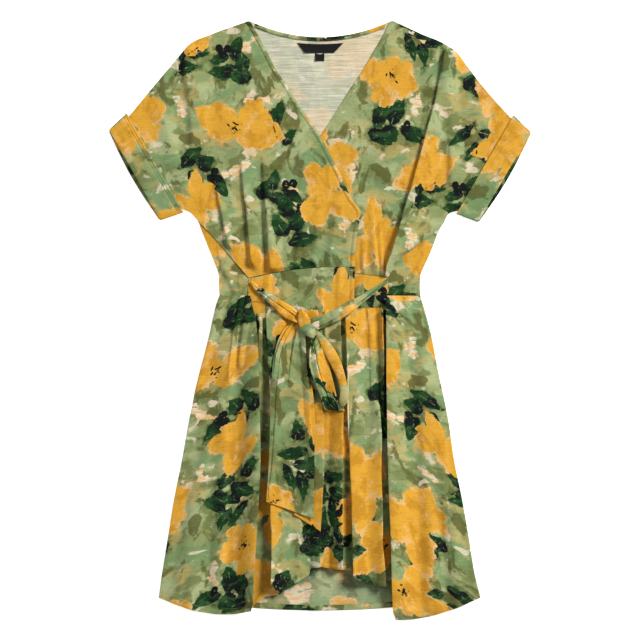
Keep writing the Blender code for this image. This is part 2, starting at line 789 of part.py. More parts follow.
Piece = namedtuple("Piece", "name sections columns row_step floor folds finish wall")
LAID_PIECES = [
    Piece("back_bodice", BACK_BODICE, 56, 14, back_floor, [], WRONG_SIDE, WALL),
    Piece("neck_label", NECK_LABEL, 4, 20, flat_floor(LAYER), [], LABEL_BLACK, TRIM_WALL),
    Piece("size_tab", SIZE_TAB, 2, 20, flat_floor(LAYER), [], LABEL_BLACK, TRIM_WALL),
    Piece("back_bodice_right_turn", RIGHT_TURN_SECTIONS, 8, 16, front_floor, TURN_FOLDS, SAGE, WALL),
    Piece("back_bodice_left_turn", LEFT_TURN_SECTIONS, 8, 16, front_floor, TURN_FOLDS, SAGE, WALL),
    Piece("front_left_bodice", FRONT_LEFT_BODICE, 30, 22, left_front_floor, LEFT_FOLDS, SAGE, WALL),
    Piece("front_right_bodice", FRONT_RIGHT_BODICE, 26, 22, right_front_floor, RIGHT_FOLDS, MUSTARD, WALL),
    Piece("front_left_waistband", LEFT_BAND, 14, 22, front_floor, [], SAGE, WALL),
    Piece("front_right_waistband", RIGHT_BAND, 18, 22, right_front_floor, BAND_FOLDS, MUSTARD, WALL),
    Piece("front_left_skirt", FRONT_LEFT_SKIRT, 30, 46, front_floor, LEFT_SKIRT_FOLDS, LEAF, WALL),
    Piece("front_right_skirt", FRONT_RIGHT_SKIRT, 38, 46, right_front_floor, SKIRT_FOLDS, MUSTARD, WALL),
]
Sash = namedtuple("Sash", "name sections columns row_step folds crown finish")
SASH_PIECES = [
    Sash("tie_right_strand", TIE_RIGHT_STRAND, 5, 6, [], 3.0, SAGE),
    Sash("tie_left_strand", TIE_LEFT_STRAND, 6, 5, [], 3.5, SAGE),
    Sash("tie_left_tail", TIE_LEFT_TAIL, 6, 20, [], 0.0, MUSTARD),
    Sash("tie_right_tail", TIE_RIGHT_TAIL, 10, 18, TAIL_FOLDS, 0.0, SAGE),
]


def main():
    clear_scene()
    for piece in LAID_PIECES:
        cloth(*piece)
    make_back_skirt()
    make_back_hem()
    make_neck_band()
    make_cuff("cuff_right", CUFF_RIGHT, SAGE)
    make_cuff("cuff_left", CUFF_LEFT, SAGE)
    for sash in SASH_PIECES:
        draped(*sash)
    make_loop()
    make_knot()


main()
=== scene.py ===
"""A printed wrap dress laid flat on a pale surface, its sash tied in a half bow.

Tables are in millimetres: x to the viewer's right from the middle of the dress, y up from the lowest point of
the hem, z up from the surface. Right and left in names are the wearer's, so the right front lies at -x.
"""

import math
from collections import namedtuple

import bpy
import numpy as np
from bpy.props import FloatProperty, FloatVectorProperty, PointerProperty
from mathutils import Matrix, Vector
from mathutils.bvhtree import BVHTree


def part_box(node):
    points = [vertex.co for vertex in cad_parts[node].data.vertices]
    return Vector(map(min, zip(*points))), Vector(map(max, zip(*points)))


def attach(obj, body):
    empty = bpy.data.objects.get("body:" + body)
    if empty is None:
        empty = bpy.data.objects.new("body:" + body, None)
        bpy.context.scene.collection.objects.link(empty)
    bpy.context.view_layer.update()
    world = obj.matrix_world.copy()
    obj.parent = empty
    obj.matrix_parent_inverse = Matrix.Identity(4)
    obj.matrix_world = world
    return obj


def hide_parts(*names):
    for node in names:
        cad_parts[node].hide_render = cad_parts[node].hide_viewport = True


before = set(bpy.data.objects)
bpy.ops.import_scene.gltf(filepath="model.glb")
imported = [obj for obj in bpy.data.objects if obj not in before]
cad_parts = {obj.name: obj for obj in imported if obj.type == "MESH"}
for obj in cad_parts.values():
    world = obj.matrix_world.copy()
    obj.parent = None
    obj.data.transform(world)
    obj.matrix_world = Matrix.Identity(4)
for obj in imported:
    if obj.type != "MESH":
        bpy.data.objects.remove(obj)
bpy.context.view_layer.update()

bl_info = {
    "name": "Wrap Dress",
    "version": (1, 0, 0),
    "blender": (4, 5, 0),
    "location": "3D Viewport > Sidebar > Dress",
    "description": "Lays out a printed wrap dress with its sash tied in a half bow",
    "category": "Add Mesh",
}

MM = 0.001
BODY = "root"
DRESS_LENGTH = (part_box("back_bodice")[1].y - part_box("back_skirt")[0].y) / MM

# How the solids' layers are stacked: a layer's wall, and the lifts where one layer runs over another's edge.
WALL = 1.2
GAP = 0.3
LAYER = WALL + GAP
EDGE_MARGIN = 12.0  # a layer is fully lifted this far outside the edge that it runs over
RAMP = 16.0  # length over which it comes up to that lift
SLEEVE_RAMP = 60.0  # the same, for a sleeve that comes up to its cuff's height
HEM_ROOM = 1.3  # room under the fronts for the back's turned-up hem
HEM_ROOM_SIDE = 150.0  # it ends this far from the middle, and this high above the foot
HEM_ROOM_TOP = 166.0
HEM_ROOM_SIDE_FADE = 20.0  # lengths over which it fades out before those ends
HEM_ROOM_TOP_FADE = 120.0
SETTLE = 0.5  # a thin cloth's middle lies this far above the floor of its solid
BACK_LEVEL = 0.35  # the back's cloth above the surface
TAPE_THICKNESS = 0.0005  # metres, of the woven label and tab
GROOVE_WIDTH = 0.9  # of the groove that topstitching draws into an edge
PUCKER = 1.9  # the smaller, the closer the puckers along topstitching
LAP_DROP = 0.75  # how far a seam's under side lies below the piece that covers it
WAIST = 490.0  # the seam between the fronts' waistband and skirt
TURNS_FOOT = 500.0  # the sides turned to the front lie under the front bodices from here up
RIGHT_TURN_TOP = 640.0
LEFT_TURN_TOP = 630.0

Section = namedtuple("Section", "left_x left_y right_x right_y bow")
Crease = namedtuple("Crease", "top_x top_y foot_x foot_y bow left right top_rise foot_rise lean")
Swell = namedtuple("Swell", "x y reach_x reach_y height")
Edge = namedtuple("Edge", "y x")
Outline = namedtuple("Outline", "y left_inner left right right_inner")
Corner = namedtuple("Corner", "x y")
Point = namedtuple("Point", "place height")
Tape = namedtuple("Tape", "node name top_left top_right foot_left foot_right top foot columns")
Pass = namedtuple("Pass", "left_x left_y right_x right_y lift crown roll")
Wrap = namedtuple("Wrap", "left_x left_y right_x right_y lift")
Fold = namedtuple("Fold", "x left right rise top fade")
Ring = namedtuple("Ring", "place size lift")

# Sections across each piece, from its left edge to its right edge; bow lifts the middle.
BACK_BODICE = [
    Section(-112, 943, 113, 943, -26),
    Section(-169, 922, 159, 922, -25),
    Section(-206, 905, 198, 905, -27),
    Section(-220, 889, 216, 892, -33),
    Section(-235, 871, 228, 876, -37),
    Section(-266, 834, 258, 837, -24),
    Section(-300, 793, 300, 790, -7),
    Section(-325, 767, 325, 764, 3),
    Section(-287, 702, 286, 698, 52),
    Section(-249, 640, 247, 637, 102),
    Section(-215, 646, 215, 643, 76),
    Section(-205, 641, 203, 639, 44),
    Section(-194, 630, 191, 619, 12),
    Section(-183, 604, 176, 583, 1),
    Section(-167, 564, 160, 547, 2),
    Section(-159, 542, 158, 541, 0),
    Section(-158, 510, 158, 510, 0),
]
FRONT_RIGHT_BODICE = [
    Section(-114, 941, -109, 940, 0),
    Section(-169, 922, -99, 922, 0),
    Section(-206, 905, -90, 905, 0),
    Section(-220, 889, -80, 886, 0),
    Section(-235, 871, -71, 868, 0),
    Section(-266, 834, -50, 838, 0),
    Section(-300, 793, -32, 807, 1),
    Section(-325, 767, -19, 790, 4),
    Section(-287, 702, 0, 761, 7),
    Section(-249, 640, 17, 730, 12),
    Section(-215, 646, 25, 714, 6),
    Section(-205, 641, 36, 692, 2),
    Section(-194, 630, 50, 662, 0),
    Section(-175, 610, 64, 642, 0),
    Section(-154, 587, 60, 616, -1),
    Section(-133, 562, 56, 582, 0),
    Section(-112, 538, 55, 555, 6),
]
FRONT_LEFT_BODICE = [
    Section(110, 941, 116, 942, 0),
    Section(101, 922, 159, 922, 0),
    Section(91, 905, 198, 905, 0),
    Section(80, 886, 216, 892, 0),
    Section(71, 870, 228, 876, 0),
    Section(50, 838, 258, 837, 1),
    Section(30, 807, 300, 790, 3),
    Section(19, 790, 325, 764, 6),
    Section(0, 760, 286, 698, 11),
    Section(-17, 730, 247, 637, 14),
    Section(-25, 714, 215, 643, 7),
    Section(-36, 692, 203, 639, 3),
    Section(-50, 662, 191, 619, 6),
    Section(-63, 641, 172, 603, 4),
    Section(-60, 616, 150, 586, 0),
    Section(-55, 582, 126, 568, -3),
    Section(-54, 553, 107, 539, 2),
]
RIGHT_TURN = [
    Section(-189, 619, -179, 620, 0),
    Section(-183, 604, -158, 608, -1),
    Section(-167, 564, -123, 571, 0),
    Section(-159, 544, -108, 547, 0),
    Section(-159, 527, -108, 530, 0),
    Section(-158, 510, -109, 516, -1),
]
LEFT_TURN = [
    Section(176, 610, 184, 607, 0),
    Section(153, 597, 176, 583, 1),
    Section(120, 572, 160, 547, -2),
    Section(111, 545, 158, 539, 0),
    Section(110, 531, 156, 523, 0),
    Section(108, 517, 158, 510, -2),
]
RIGHT_BAND = [
    Section(-106, 537.5, 55, 554.5, 6),
    Section(-107, 509, 54, 520, 2),
    Section(-102, 482, 54, 490, 1),
]
LEFT_BAND = [
    Section(-54, 552, 106, 538.5, 2),
    Section(-54, 520, 105.5, 519, -1),
    Section(-54, 489, 105, 492, -1),
]
FRONT_RIGHT_SKIRT = [
    Section(-102, 481.5, 54, 489.5, 1),
    Section(-109, 446, 54, 446, 0),
    Section(-108, 391, 53, 391, 0),
    Section(-106, 314, 53, 314, 0),
    Section(-105, 252, 52, 252, 0),
    Section(-108, 188, 51, 188, 3),
    Section(-112, 125, 51, 137, 9),
    Section(-115, 70, 51, 101, 24),
    Section(-117, 17, 50, 76, 23),
]
FRONT_LEFT_SKIRT = [
    Section(-54, 488.5, 106, 491.5, -1),
    Section(-54, 446, 115, 446, 0),
    Section(-54, 391, 115, 391, 0),
    Section(-54, 314, 117, 314, 0),
    Section(-54, 252, 118, 252, 0),
    Section(-54, 188, 121, 188, 3),
    Section(-54, 137, 123, 125, 5),
    Section(-54, 101, 126, 70, 8),
    Section(-54, 78, 129, 31, 14),
]
BACK_SKIRT = [
    Outline(509.7, -109, -158, 158, 107),
    Outline(487, -105.5, -164, 164, 107.5),
    Outline(446, -101, -173, 175, 108),
    Outline(391, -99, -188, 186, 108),
    Outline(314, -97, -206, 202, 109),
    Outline(252, -96, -217, 211, 110),
    Outline(188, -99, -230, 224, 112),
    Outline(125, -103, -240, 235, 115),
    Outline(70, -107, -249, 244, 117),
    Outline(34, -108, -254, 253, 119),
]
RIGHT_FRONT_HEM = [
    Corner(-117, 17),
    Corner(-105, 23),
    Corner(-86, 36),
    Corner(-66, 40),
    Corner(-50, 50.5),
    Corner(-31, 61.5),
    Corner(-17.5, 70),
    Corner(-15, 81),
    Corner(-6, 84),
    Corner(3, 83.5),
    Corner(13, 81.5),
    Corner(31, 79.5),
    Corner(50, 77.5),
]
LEFT_FRONT_HEM = [
    Corner(-54, 84),
    Corner(-20, 86),
    Corner(-6, 88),
    Corner(13, 86),
    Corner(31, 83.5),
    Corner(48, 79.5),
    Corner(61, 69),
    Corner(75, 59),
    Corner(87, 55),
    Corner(103, 52),
    Corner(129, 48),
]
BACK_HEM_SAG = 20.0  # how far the back's hem hangs below its outline in its middle
HEM_DROP_START = 150.0  # from this height down, the rows bend towards the hem's line
HEM_TURNING = 9.0  # height of the turned-up hem
HEM_SEAM_EXTRA = 1.5  # the back hem is stitched this much further from its edge than the other edges
HEM_SHOWN = (-116, 128)  # the turned-up hem is seen between these places
HEM_REACH = 3.0  # a hem's own line fades out over the last third of its panel
FOLD_INSET = 1.0  # the cloth's flat parts end this far inside the outline, and its bends fill it
# The soft fold that shows inside the back: its crest, its reach to each side, its rise, its top and its fade.
INNER_FOLD = Fold(-15.7, 4.0, 34.0, 3.4, 74.0, 14.0)
NECK_BINDING = 6.5  # the binding's lower and upper edges, measured down from the neckline
BINDING_EDGE = 0.4

FOLD_WANDER = 1.6  # a fold's crest strays this far to each side
FOLD_UNEVEN = 0.18  # share of its height by which a fold rises and falls along its crest
# Folds: a crest from top to foot, its bow, its reach to each side, its rise above the cloth and its lean.
RIGHT_BODICE_CREASES = [
    Crease(-213, 892, -198, 730, 5, 14, 40, 7.0, 3.4, -1),
    Crease(-246, 850, -226, 720, 0, 30, 12, 2.4, 2.0, 0),
    Crease(-163, 704, -141, 596, 0, 11, 24, 2.6, 7.4, -4),
    Crease(-117, 706, -103, 566, 0, 11, 20, 3.4, 8.8, -5),
    Crease(-85, 710, -74, 556, 0, 11, 22, 3.8, 9.4, -5),
    Crease(-52, 660, -54, 554, 0, 10, 12, 1.0, 4.2, 0),
    Crease(-28, 640, -34, 557, 0, 10, 10, 0.8, 3.6, 0),
    Crease(0, 650, -10, 560, 0, 10, 12, 0.8, 2.8, 0),
    Crease(34, 674, 16, 562, 0, 14, 12, 1.0, 3.2, -1),
    Crease(-70, 830, -12, 700, 0, 36, 28, 1.0, 2.4, 0),
    Crease(-150, 830, -120, 720, 0, 40, 30, 1.4, 2.0, 0),
    Crease(-252, 800, -214, 680, 0, 24, 14, 1.4, 3.0, 1),
]
LEFT_BODICE_CREASES = [
    Crease(210, 906, 108, 536, 5.0, 8, 30, 4.4, 13.0, -9),
    Crease(206, 892, 207, 690, 0, 11, 18, 3.0, 4.6, -1),
    Crease(80, 644, 88, 555, 0, 9, 6, 1.4, 4.4, 2),
    Crease(93, 618, 98, 548, 0, 6, 5, 1.0, 4.2, 1),
    Crease(68, 606, 69, 556, 0, 7, 6, 0.8, 3.4, 0),
    Crease(252, 800, 222, 700, 0, 24, 13, 2.2, 3.6, 1),
    Crease(184, 664, 150, 596, 0, 12, 14, 1.4, 4.4, -1),
    Crease(136, 870, 100, 700, 0, 34, 24, 1.4, 2.2, 0),
    Crease(60, 800, 44, 690, 0, 26, 30, 1.2, 2.2, 0),
]
RIGHT_SKIRT_CREASES = [
    Crease(-96, 488, -96, 366, 0, 7, 7, 10.0, 8.0, 0),
    Crease(-68, 486, -63, 60, 3, 15, 38, 7.0, 15.5, -15),
    Crease(-55, 488, -51, 380, 0, 8, 8, 3.0, 1.5, 0),
    Crease(-62, 140, -66, 18, 0, 8, 10, 1.0, 5.0, 2),
    Crease(-38, 488, -34, 90, 0, 10, 14, 3.0, 4.6, 3),
    Crease(-12, 488, -8, 80, 0, 9, 10, 4.0, 8.0, 7),
    Crease(10, 488, 13, 330, 0, 7, 8, 4.0, 2.4, 0),
    Crease(23, 488, 26, 84, 3, 14, 11, 8.0, 13.5, 8),
    Crease(50, 489, 63, 60, 0, 12, 26, 9.0, 15.0, -9),
]
LEFT_SKIRT_CREASES = [
    Crease(50, 489, 63, 60, 0, 12, 26, 9.0, 15.0, -9),
    Crease(79, 491, 84, 330, 0, 8, 7, 3.4, 1.4, -2),
    Crease(98.5, 491, 99, 330, 0, 5.5, 5.5, 9.5, 7.0, 0),
    Crease(86, 336, 94, 44, 0, 18, 8, 7.0, 13.0, 8),
]
RIGHT_TURN_CREASES = [
    Crease(-113, 506, -124, 408, 0, 8, 7, 5.0, 2.8, -2),
    Crease(-123, 505, -143, 392, 0, 10, 9, 4.6, 3.0, -2),
    Crease(-138, 503, -160, 428, 0, 9, 9, 2.8, 1.6, -1),
    Crease(-150, 500, -170, 440, 0, 8, 8, 2.0, 1.0, 0),
    Crease(-98, 478, -104, 30, 0, 30, 30, 9.0, 15.0, 3),
    Crease(-144, 440, -160, 30, -4, 16, 18, 3.0, 6.0, 3),
    Crease(-160, 494, -194, 360, 0, 12, 10, 3.6, 2.4, 0),
    Crease(-163, 330, -204, 20, -6, 24, 26, 2.4, 7.0, 0),
    Crease(-196, 220, -226, 24, 0, 14, 14, 1.0, 4.2, 0),
]
LEFT_TURN_CREASES = [
    Crease(109, 500, 119, 16, 0, 30, 42, 11.0, 17.0, -4),
    Crease(136, 502, 146, 400, 0, 8, 9, 3.2, 1.4, 0),
    Crease(150, 480, 178, 20, 4, 20, 22, 2.4, 5.2, 0),
    Crease(160, 420, 218, 20, 6, 20, 22, 2.0, 5.2, 0),
    Crease(164, 498, 172, 440, 0, 8, 8, 2.4, 1.0, 0),
]
RIGHT_BAND_CREASES = [
    Crease(-2, 558, 1, 484, 0, 12, 7, 2.0, 3.0, 2),
    Crease(-80, 554, -84, 480, 0, 10, 8, 2.4, 3.2, 1),
    Crease(-52, 530, -58, 480, 0, 9, 9, 1.0, 2.4, 0),
    Crease(32, 550, 30, 486, 0, 8, 8, 1.8, 1.6, 0),
]
SIDE_CREASES = [
    Crease(-150, 548, -132, 514, 0, 8, 9, 2.4, 2.2, 0),
    Crease(-164, 590, -155, 562, 0, 7, 7, 0.2, 1.2, 0),
    Crease(148, 540, 134, 514, 0, 8, 8, 2.2, 2.4, 0),
    Crease(166, 580, 156, 556, 0, 6, 6, 0.2, 1.2, 0),
]
SWELLS = [
    Swell(-120, 760, 95, 110, 3.0),
    Swell(120, 760, 95, 110, 3.0),
    Swell(-60, 640, 80, 90, 3.0),
    Swell(60, 640, 80, 90, 3.0),
    Swell(0, 300, 190, 330, 4.0),
    Swell(0, 120, 210, 200, 2.0),
]
UNDER_EDGE = [
    Edge(942, 110),
    Edge(838, 50),
    Edge(760, 0),
    Edge(641, -63),
    Edge(582, -55),
    Edge(553, -54),
    Edge(60, -54),
]
RIGHT_SKIRT_EDGE = [
    Edge(520, -100),
    Edge(481, -103),
    Edge(446, -109),
    Edge(314, -106),
    Edge(188, -108),
    Edge(0, -119),
]
LEFT_SKIRT_EDGE = [
    Edge(520, 104),
    Edge(491, 106),
    Edge(446, 115),
    Edge(252, 118),
    Edge(70, 126),
    Edge(0, 131),
]
RIGHT_TURN_EDGE = [Edge(628, -186), Edge(608, -158), Edge(571, -123), Edge(547, -108), Edge(500, -109)]
LEFT_TURN_EDGE = [Edge(618, 184), Edge(597, 153), Edge(572, 120), Edge(545, 111), Edge(500, 108)]

CUFF_RIGHT = [Corner(-304, 797), Corner(-215, 641), Corner(-332, 771), Corner(-251, 628.5)]
CUFF_LEFT = [Corner(304.5, 794), Corner(214.5, 638.5), Corner(332, 767.5), Corner(248.5, 625.5)]
CUFF_HEIGHT = 3 * WALL + 4 * GAP + WALL
CUFF_EASE = 0.2  # height that a cuff has beyond the solid's
CUFF_PUFF = 0.3  # no ridge of a cuff stands out further than this
CUFF_WIDTH = 40.0
CUFF_ROWS = 62
CUFF_STEPS = 60  # places along each flat layer of a cuff
BEND_STEPS = 8  # steps round each of a cuff's two ends
LOWER_EDGE_OUT = 1.4  # how far a cuff's lower layer reaches out beyond its upper one, at its ends
LOWER_EDGE_BOW = 4.6  # and how much further in its middle
# Across the cuff: place from the body's side (0) to the opening (1), and depth inside the outer face.
CUFF_PROFILE = [
    Point(0.03, 1.1),
    Point(0.0, 0.45),
    Point(0.02, 0.0),
    Point(0.1, -0.25),
    Point(0.122, 0.3),
    Point(0.145, -0.1),
    Point(0.195, -0.15),
    Point(0.22, 0.35),
    Point(0.25, -0.05),
    Point(0.5, -0.2),
    Point(0.75, -0.1),
    Point(0.95, 0.0),
    Point(1.0, 0.5),
    Point(0.95, 1.15),
    Point(0.7, 1.2),
]

# The sash's bands, as sections along their length, and the folds in them.
RIGHT_STRAND = [
    Section(-110, 529.5, -107, 533.5, 0),
    Section(-101.8, 518, -96.2, 525, 0),
    Section(-87.7, 505, -80.3, 514.5, 0),
    Section(-74, 492.6, -65, 504.4, 0),
    Section(-62.4, 481.3, -50.6, 496.3, 0),
    Section(-52.2, 473.6, -39.8, 489.4, 0),
    Section(-41.3, 469.5, -32.5, 481, 0),
    Section(-34, 466, -27, 474, 0),
]
RIGHT_STRAND_FOLDS = [
    Crease(-74, 500, -37, 474, 0, 2.0, 2.0, -0.8, -3.2, 0),
    Crease(-56, 493, -34, 479, 0, 1.6, 1.6, -0.4, -2.2, 0),
    Crease(-100, 521, -78, 503, 0, 1.6, 1.6, -1.2, -0.8, 0),
]
LEFT_STRAND = [
    Section(106.5, 537, 106, 530, 0),
    Section(91.2, 525.9, 93.7, 520.8, 0),
    Section(73, 515.8, 77.8, 507.2, 0),
    Section(60.3, 507.7, 65.8, 496.9, 0),
    Section(43.1, 499.2, 51.3, 486, 0),
    Section(31.5, 492.6, 40.3, 478, 0),
    Section(18.2, 485.1, 27.8, 469.5, 0),
    Section(3.3, 478.5, 12.9, 462.8, 0),
    Section(-9, 474.5, 1, 458, 0),
    Section(-17, 471, -9, 457, 0),
]
LEFT_STRAND_FOLDS = [
    Crease(103, 532.5, 66, 502, 0, 1.7, 1.7, -1.6, -3.0, 0),
    Crease(92, 522, 54, 493, 0, 1.6, 1.6, -0.8, -2.6, 0),
    Crease(44, 486, -2, 460, 0, 1.9, 1.9, -0.6, -3.2, 0),
    Crease(16, 480, -14, 465, 0, 1.6, 1.6, -0.3, -2.4, 0),
]
LONG_TAIL = [
    Section(-38, 468, -24, 456, 0),
    Section(-52, 462, -22, 446, 0),
    Section(-64, 444, -24, 430, 0),
    Section(-71, 418, -20, 402, 0),
    Section(-77, 360, -11, 358, 0),
    Section(-78, 314, -8, 314, 0),
    Section(-80, 250, -9, 248, 0),
    Section(-84, 187, -10, 160, 0),
]
SHORT_TAIL = [
    Section(-28, 446, -10, 447, 0),
    Section(-30, 400, -8, 400, 0),
    Section(-40, 340, 3, 340, 0),
    Section(-40, 250, 7, 250, 0),
    Section(-40, 190, 4, 190, 0),
    Section(-40, 166, 1, 140, 0),
]
LONG_TAIL_CREASES = [
    Crease(-40, 466, -69, 396, -6.3, 3.2, 5.0, 5.4, 2.6, -3),
    Crease(-35, 464, -60, 404, -5.0, 3.0, 4.6, 5.0, 1.8, -3),
    Crease(-33, 460, -47, 380, -2.0, 3.0, 6.0, 4.6, 0.8, -2),
    Crease(-27, 448, -13, 240, 0, 6, 5, 5.0, 4.0, 4),
    Crease(-62, 380, -76, 200, 0, 5, 8, 1.6, 2.6, -3),
]
# Across a strand, which is one strip of cloth folded over itself, from one raw edge to the other: share of
# its width, and height above what it lies on.
ROLLED = [
    Point(0.7, 0.2),
    Point(0.3, 0.3),
    Point(0.06, 0.8),
    Point(-0.03, 2.3),
    Point(0.04, 4.0),
    Point(0.2, 5.2),
    Point(0.5, 5.7),
    Point(0.78, 5.2),
    Point(0.95, 3.8),
    Point(1.02, 2.2),
    Point(0.97, 0.8),
    Point(0.72, 0.3),
]
STRAND_WIDTH = 20.0
STRAND_COLUMNS = 60
STRAND_CLEARANCE = 0.55  # between a strand's lower face and the cloth below it
# The loop goes down from the knot in a roll, turns over at its end and comes back up flat.
LOOP = [
    Pass(-9, 452, -5, 456, 0.6, 2.0, 0.9),
    Pass(-3, 439, 6, 446, 0.5, 4.5, 1.0),
    Pass(6, 420, 21.5, 427, 0.4, 6.5, 1.0),
    Pass(16, 400, 33, 405, 0.4, 7.5, 1.0),
    Pass(26, 380, 39.5, 383, 0.4, 7.5, 1.0),
    Pass(30.5, 361, 43.5, 363, 0.4, 7.0, 1.0),
    Pass(27, 346, 45.5, 346, 0.5, 5.5, 0.85),
    Pass(16, 335, 44, 333, 0.7, 2.4, 0.3),
    Pass(9, 331, 38, 328.5, 2.2, 0.8, 0.0),
    Pass(6, 334, 32, 333, 4.4, 1.0, 0.0),
    Pass(3, 346, 27, 348, 6.0, 2.0, 0.0),
    Pass(-3, 361, 23, 366, 6.6, 2.8, 0.0),
    Pass(-10, 379, 18.5, 384, 7.0, 3.4, 0.0),
    Pass(-16, 397, 14, 402, 7.0, 3.4, 0.0),
    Pass(-17, 413, 9, 418, 7.0, 3.4, 0.0),
    Pass(-15, 430, -1, 434, 6.6, 3.0, 0.0),
    Pass(-12, 445, -6, 448, 5.6, 1.5, 0.0),
]
# The knot's two wraps, each drawn tight at its ends; lift is the height above what the knot lies on.
KNOT_UPRIGHT = [
    Wrap(-31.5, 488, -27.5, 488.5, 1.0),
    Wrap(-33.5, 482, -23, 483.5, 6.0),
    Wrap(-35, 474, -17, 475, 8.6),
    Wrap(-34, 466, -15, 467.5, 8.8),
    Wrap(-31, 459, -17, 460, 6.5),
    Wrap(-27, 455, -20, 455.5, 0.0),
]
KNOT_ACROSS = [
    Wrap(-5, 452, -7, 445, 0.0),
    Wrap(-8.5, 458, -10.5, 443, 7.5),
    Wrap(-14, 464, -15.5, 444, 11.0),
    Wrap(-20, 466.5, -21, 447, 10.8),
    Wrap(-28, 463.5, -28, 451, 7.0),
    Wrap(-35, 459.5, -34, 454, 0.0),
]
KNOT_MIDDLE = Corner(-20, 467)

TAPES = [
    Tape("neck_label", "woven_label", -36, 37, -24, 22, 907.8, 892.0, 40),
    Tape("size_tab", "size_tab_tape", -7.6, 6.8, -7.6, 6.8, 891.8, 879.2, 14),
]
ROW_GAP = 2.4  # between two rows of topstitching
NARROW_SEAM = 1.2  # distance of the stitching from the edge of a narrow binding or turning
# Rings round one stitch's thread: share of its length, then size and lift in radii of the thread.
STITCH_RINGS = [Ring(0.0, 0.35, 0.0), Ring(0.3, 1.0, 0.5), Ring(0.7, 1.0, 0.5), Ring(1.0, 0.35, 0.0)]
ABOVE_ALL = 1.0  # metres, higher than any cloth
CAMERA_HEIGHT = 4.0  # metres above the surface
FIELD = 1.008  # metres across that the camera sees at the surface
SENSOR = 36.0


def length_property(name, description, default):
    return FloatProperty(name=name, description=description, default=default, unit="LENGTH")


def colour_property(name, description, red, green, blue):
    value = (red, green, blue, 1)
    return FloatVectorProperty(name=name, description=description, subtype="COLOR", size=4, default=value)


class DressSizes(bpy.types.PropertyGroup):
    """Sizes of the cloth and its sewing"""

    cloth: length_property("Cloth thickness", "Thickness of one layer of the printed cloth", 0.00055)
    crumple: length_property("Crumple", "Height of the small soft wrinkles all over the cloth", 0.00042)
    gather: length_property("Gather depth", "Height of the gathers below the waist seam", 0.0012)
    stitch: length_property("Stitch length", "Length of one topstitch", 0.0024)
    thread: length_property("Thread thickness", "Thickness of the sewing thread", 0.00036)
    seam: length_property("Topstitch distance", "Distance of the topstitching from a finished edge", 0.0075)


class DressColours(bpy.types.PropertyGroup):
    """Colours of the print and trims"""

    fern: colour_property("Fern", "Cool green washes", 0.178, 0.29, 0.122)
    sage: colour_property("Sage", "Ground of the print", 0.265, 0.315, 0.128)
    mint: colour_property("Mint", "Light washes of the ground", 0.38, 0.432, 0.208)
    moss: colour_property("Moss", "Deep washes of the ground", 0.15, 0.178, 0.055)
    olive: colour_property("Olive", "Olive leaves and strokes", 0.1, 0.104, 0.024)
    straw: colour_property("Straw", "Straw-coloured washes", 0.55, 0.39, 0.13)
    peach: colour_property("Peach", "Pale edges of the petals", 0.775, 0.485, 0.205)
    cream: colour_property("Cream", "Bare patches of the print", 0.8, 0.672, 0.5)
    mustard: colour_property("Mustard", "Blossoms", 0.705, 0.362, 0.037)
    ochre: colour_property("Ochre", "Shade of the blossoms", 0.53, 0.245, 0.018)
    leaf: colour_property("Leaf", "Leaves", 0.009, 0.042, 0.0105)
    sprout: colour_property("Sprout", "Light patches on the leaves", 0.034, 0.098, 0.03)
    berry: colour_property("Berry", "Berries and stems", 0.006, 0.0085, 0.0085)
    label: colour_property("Label", "Woven neck label", 0.0055, 0.005, 0.0055)
    floor: colour_property("Surface", "What the dress lies on", 0.99, 0.99, 0.985)


# ------------------------------------------------------------------------ shapes in plan


def mix(first, second, share):
    return first + (second - first) * share


def smooth(share):
    """0 below 0, 1 above 1, and a soft step between."""
    share = np.clip(share, 0.0, 1.0)
    return share * share * (3 - 2 * share)


def bump(share):
    """1 at 0, falling softly to 0 at -1 and 1."""
    return np.where(np.abs(share) < 1, np.cos(np.clip(share, -1, 1) * np.pi / 2) ** 2, 0.0)


def edge_at(edge, y):
    """The x of an edge table at each height."""
    return np.interp(-y, [-e.y for e in edge], [e.x for e in edge])


def cloud(x, y, size, seed=0.0):
    """Soft irregular hills of one size, from -1 to 1; the odd factors only scramble them, always alike."""
    x = x / size + seed * 17.3
    y = y / size - seed * 9.1
    column = np.floor(x)
    row = np.floor(y)
    across = smooth(x - column)
    up = smooth(y - row)

    def corner(i, j):
        value = np.sin((column + i) * 127.1 + (row + j) * 311.7 + seed * 74.7) * 43758.5453
        return value - np.floor(value)

    low = mix(corner(0, 0), corner(1, 0), across)
    high = mix(corner(0, 1), corner(1, 1), across)
    return mix(low, high, up) * 2 - 1


def crumple(x, y, seed=0.0):
    """Small soft wrinkles: a few sizes of hills, with crisper valleys between them."""
    broad = cloud(x, y, 46, seed)
    fine = 1 - 2 * np.abs(cloud(x + 6 * broad, y * 0.7, 19, seed + 3))
    return 0.55 * broad + 0.35 * fine + 0.14 * cloud(x, y, 8, seed + 5)


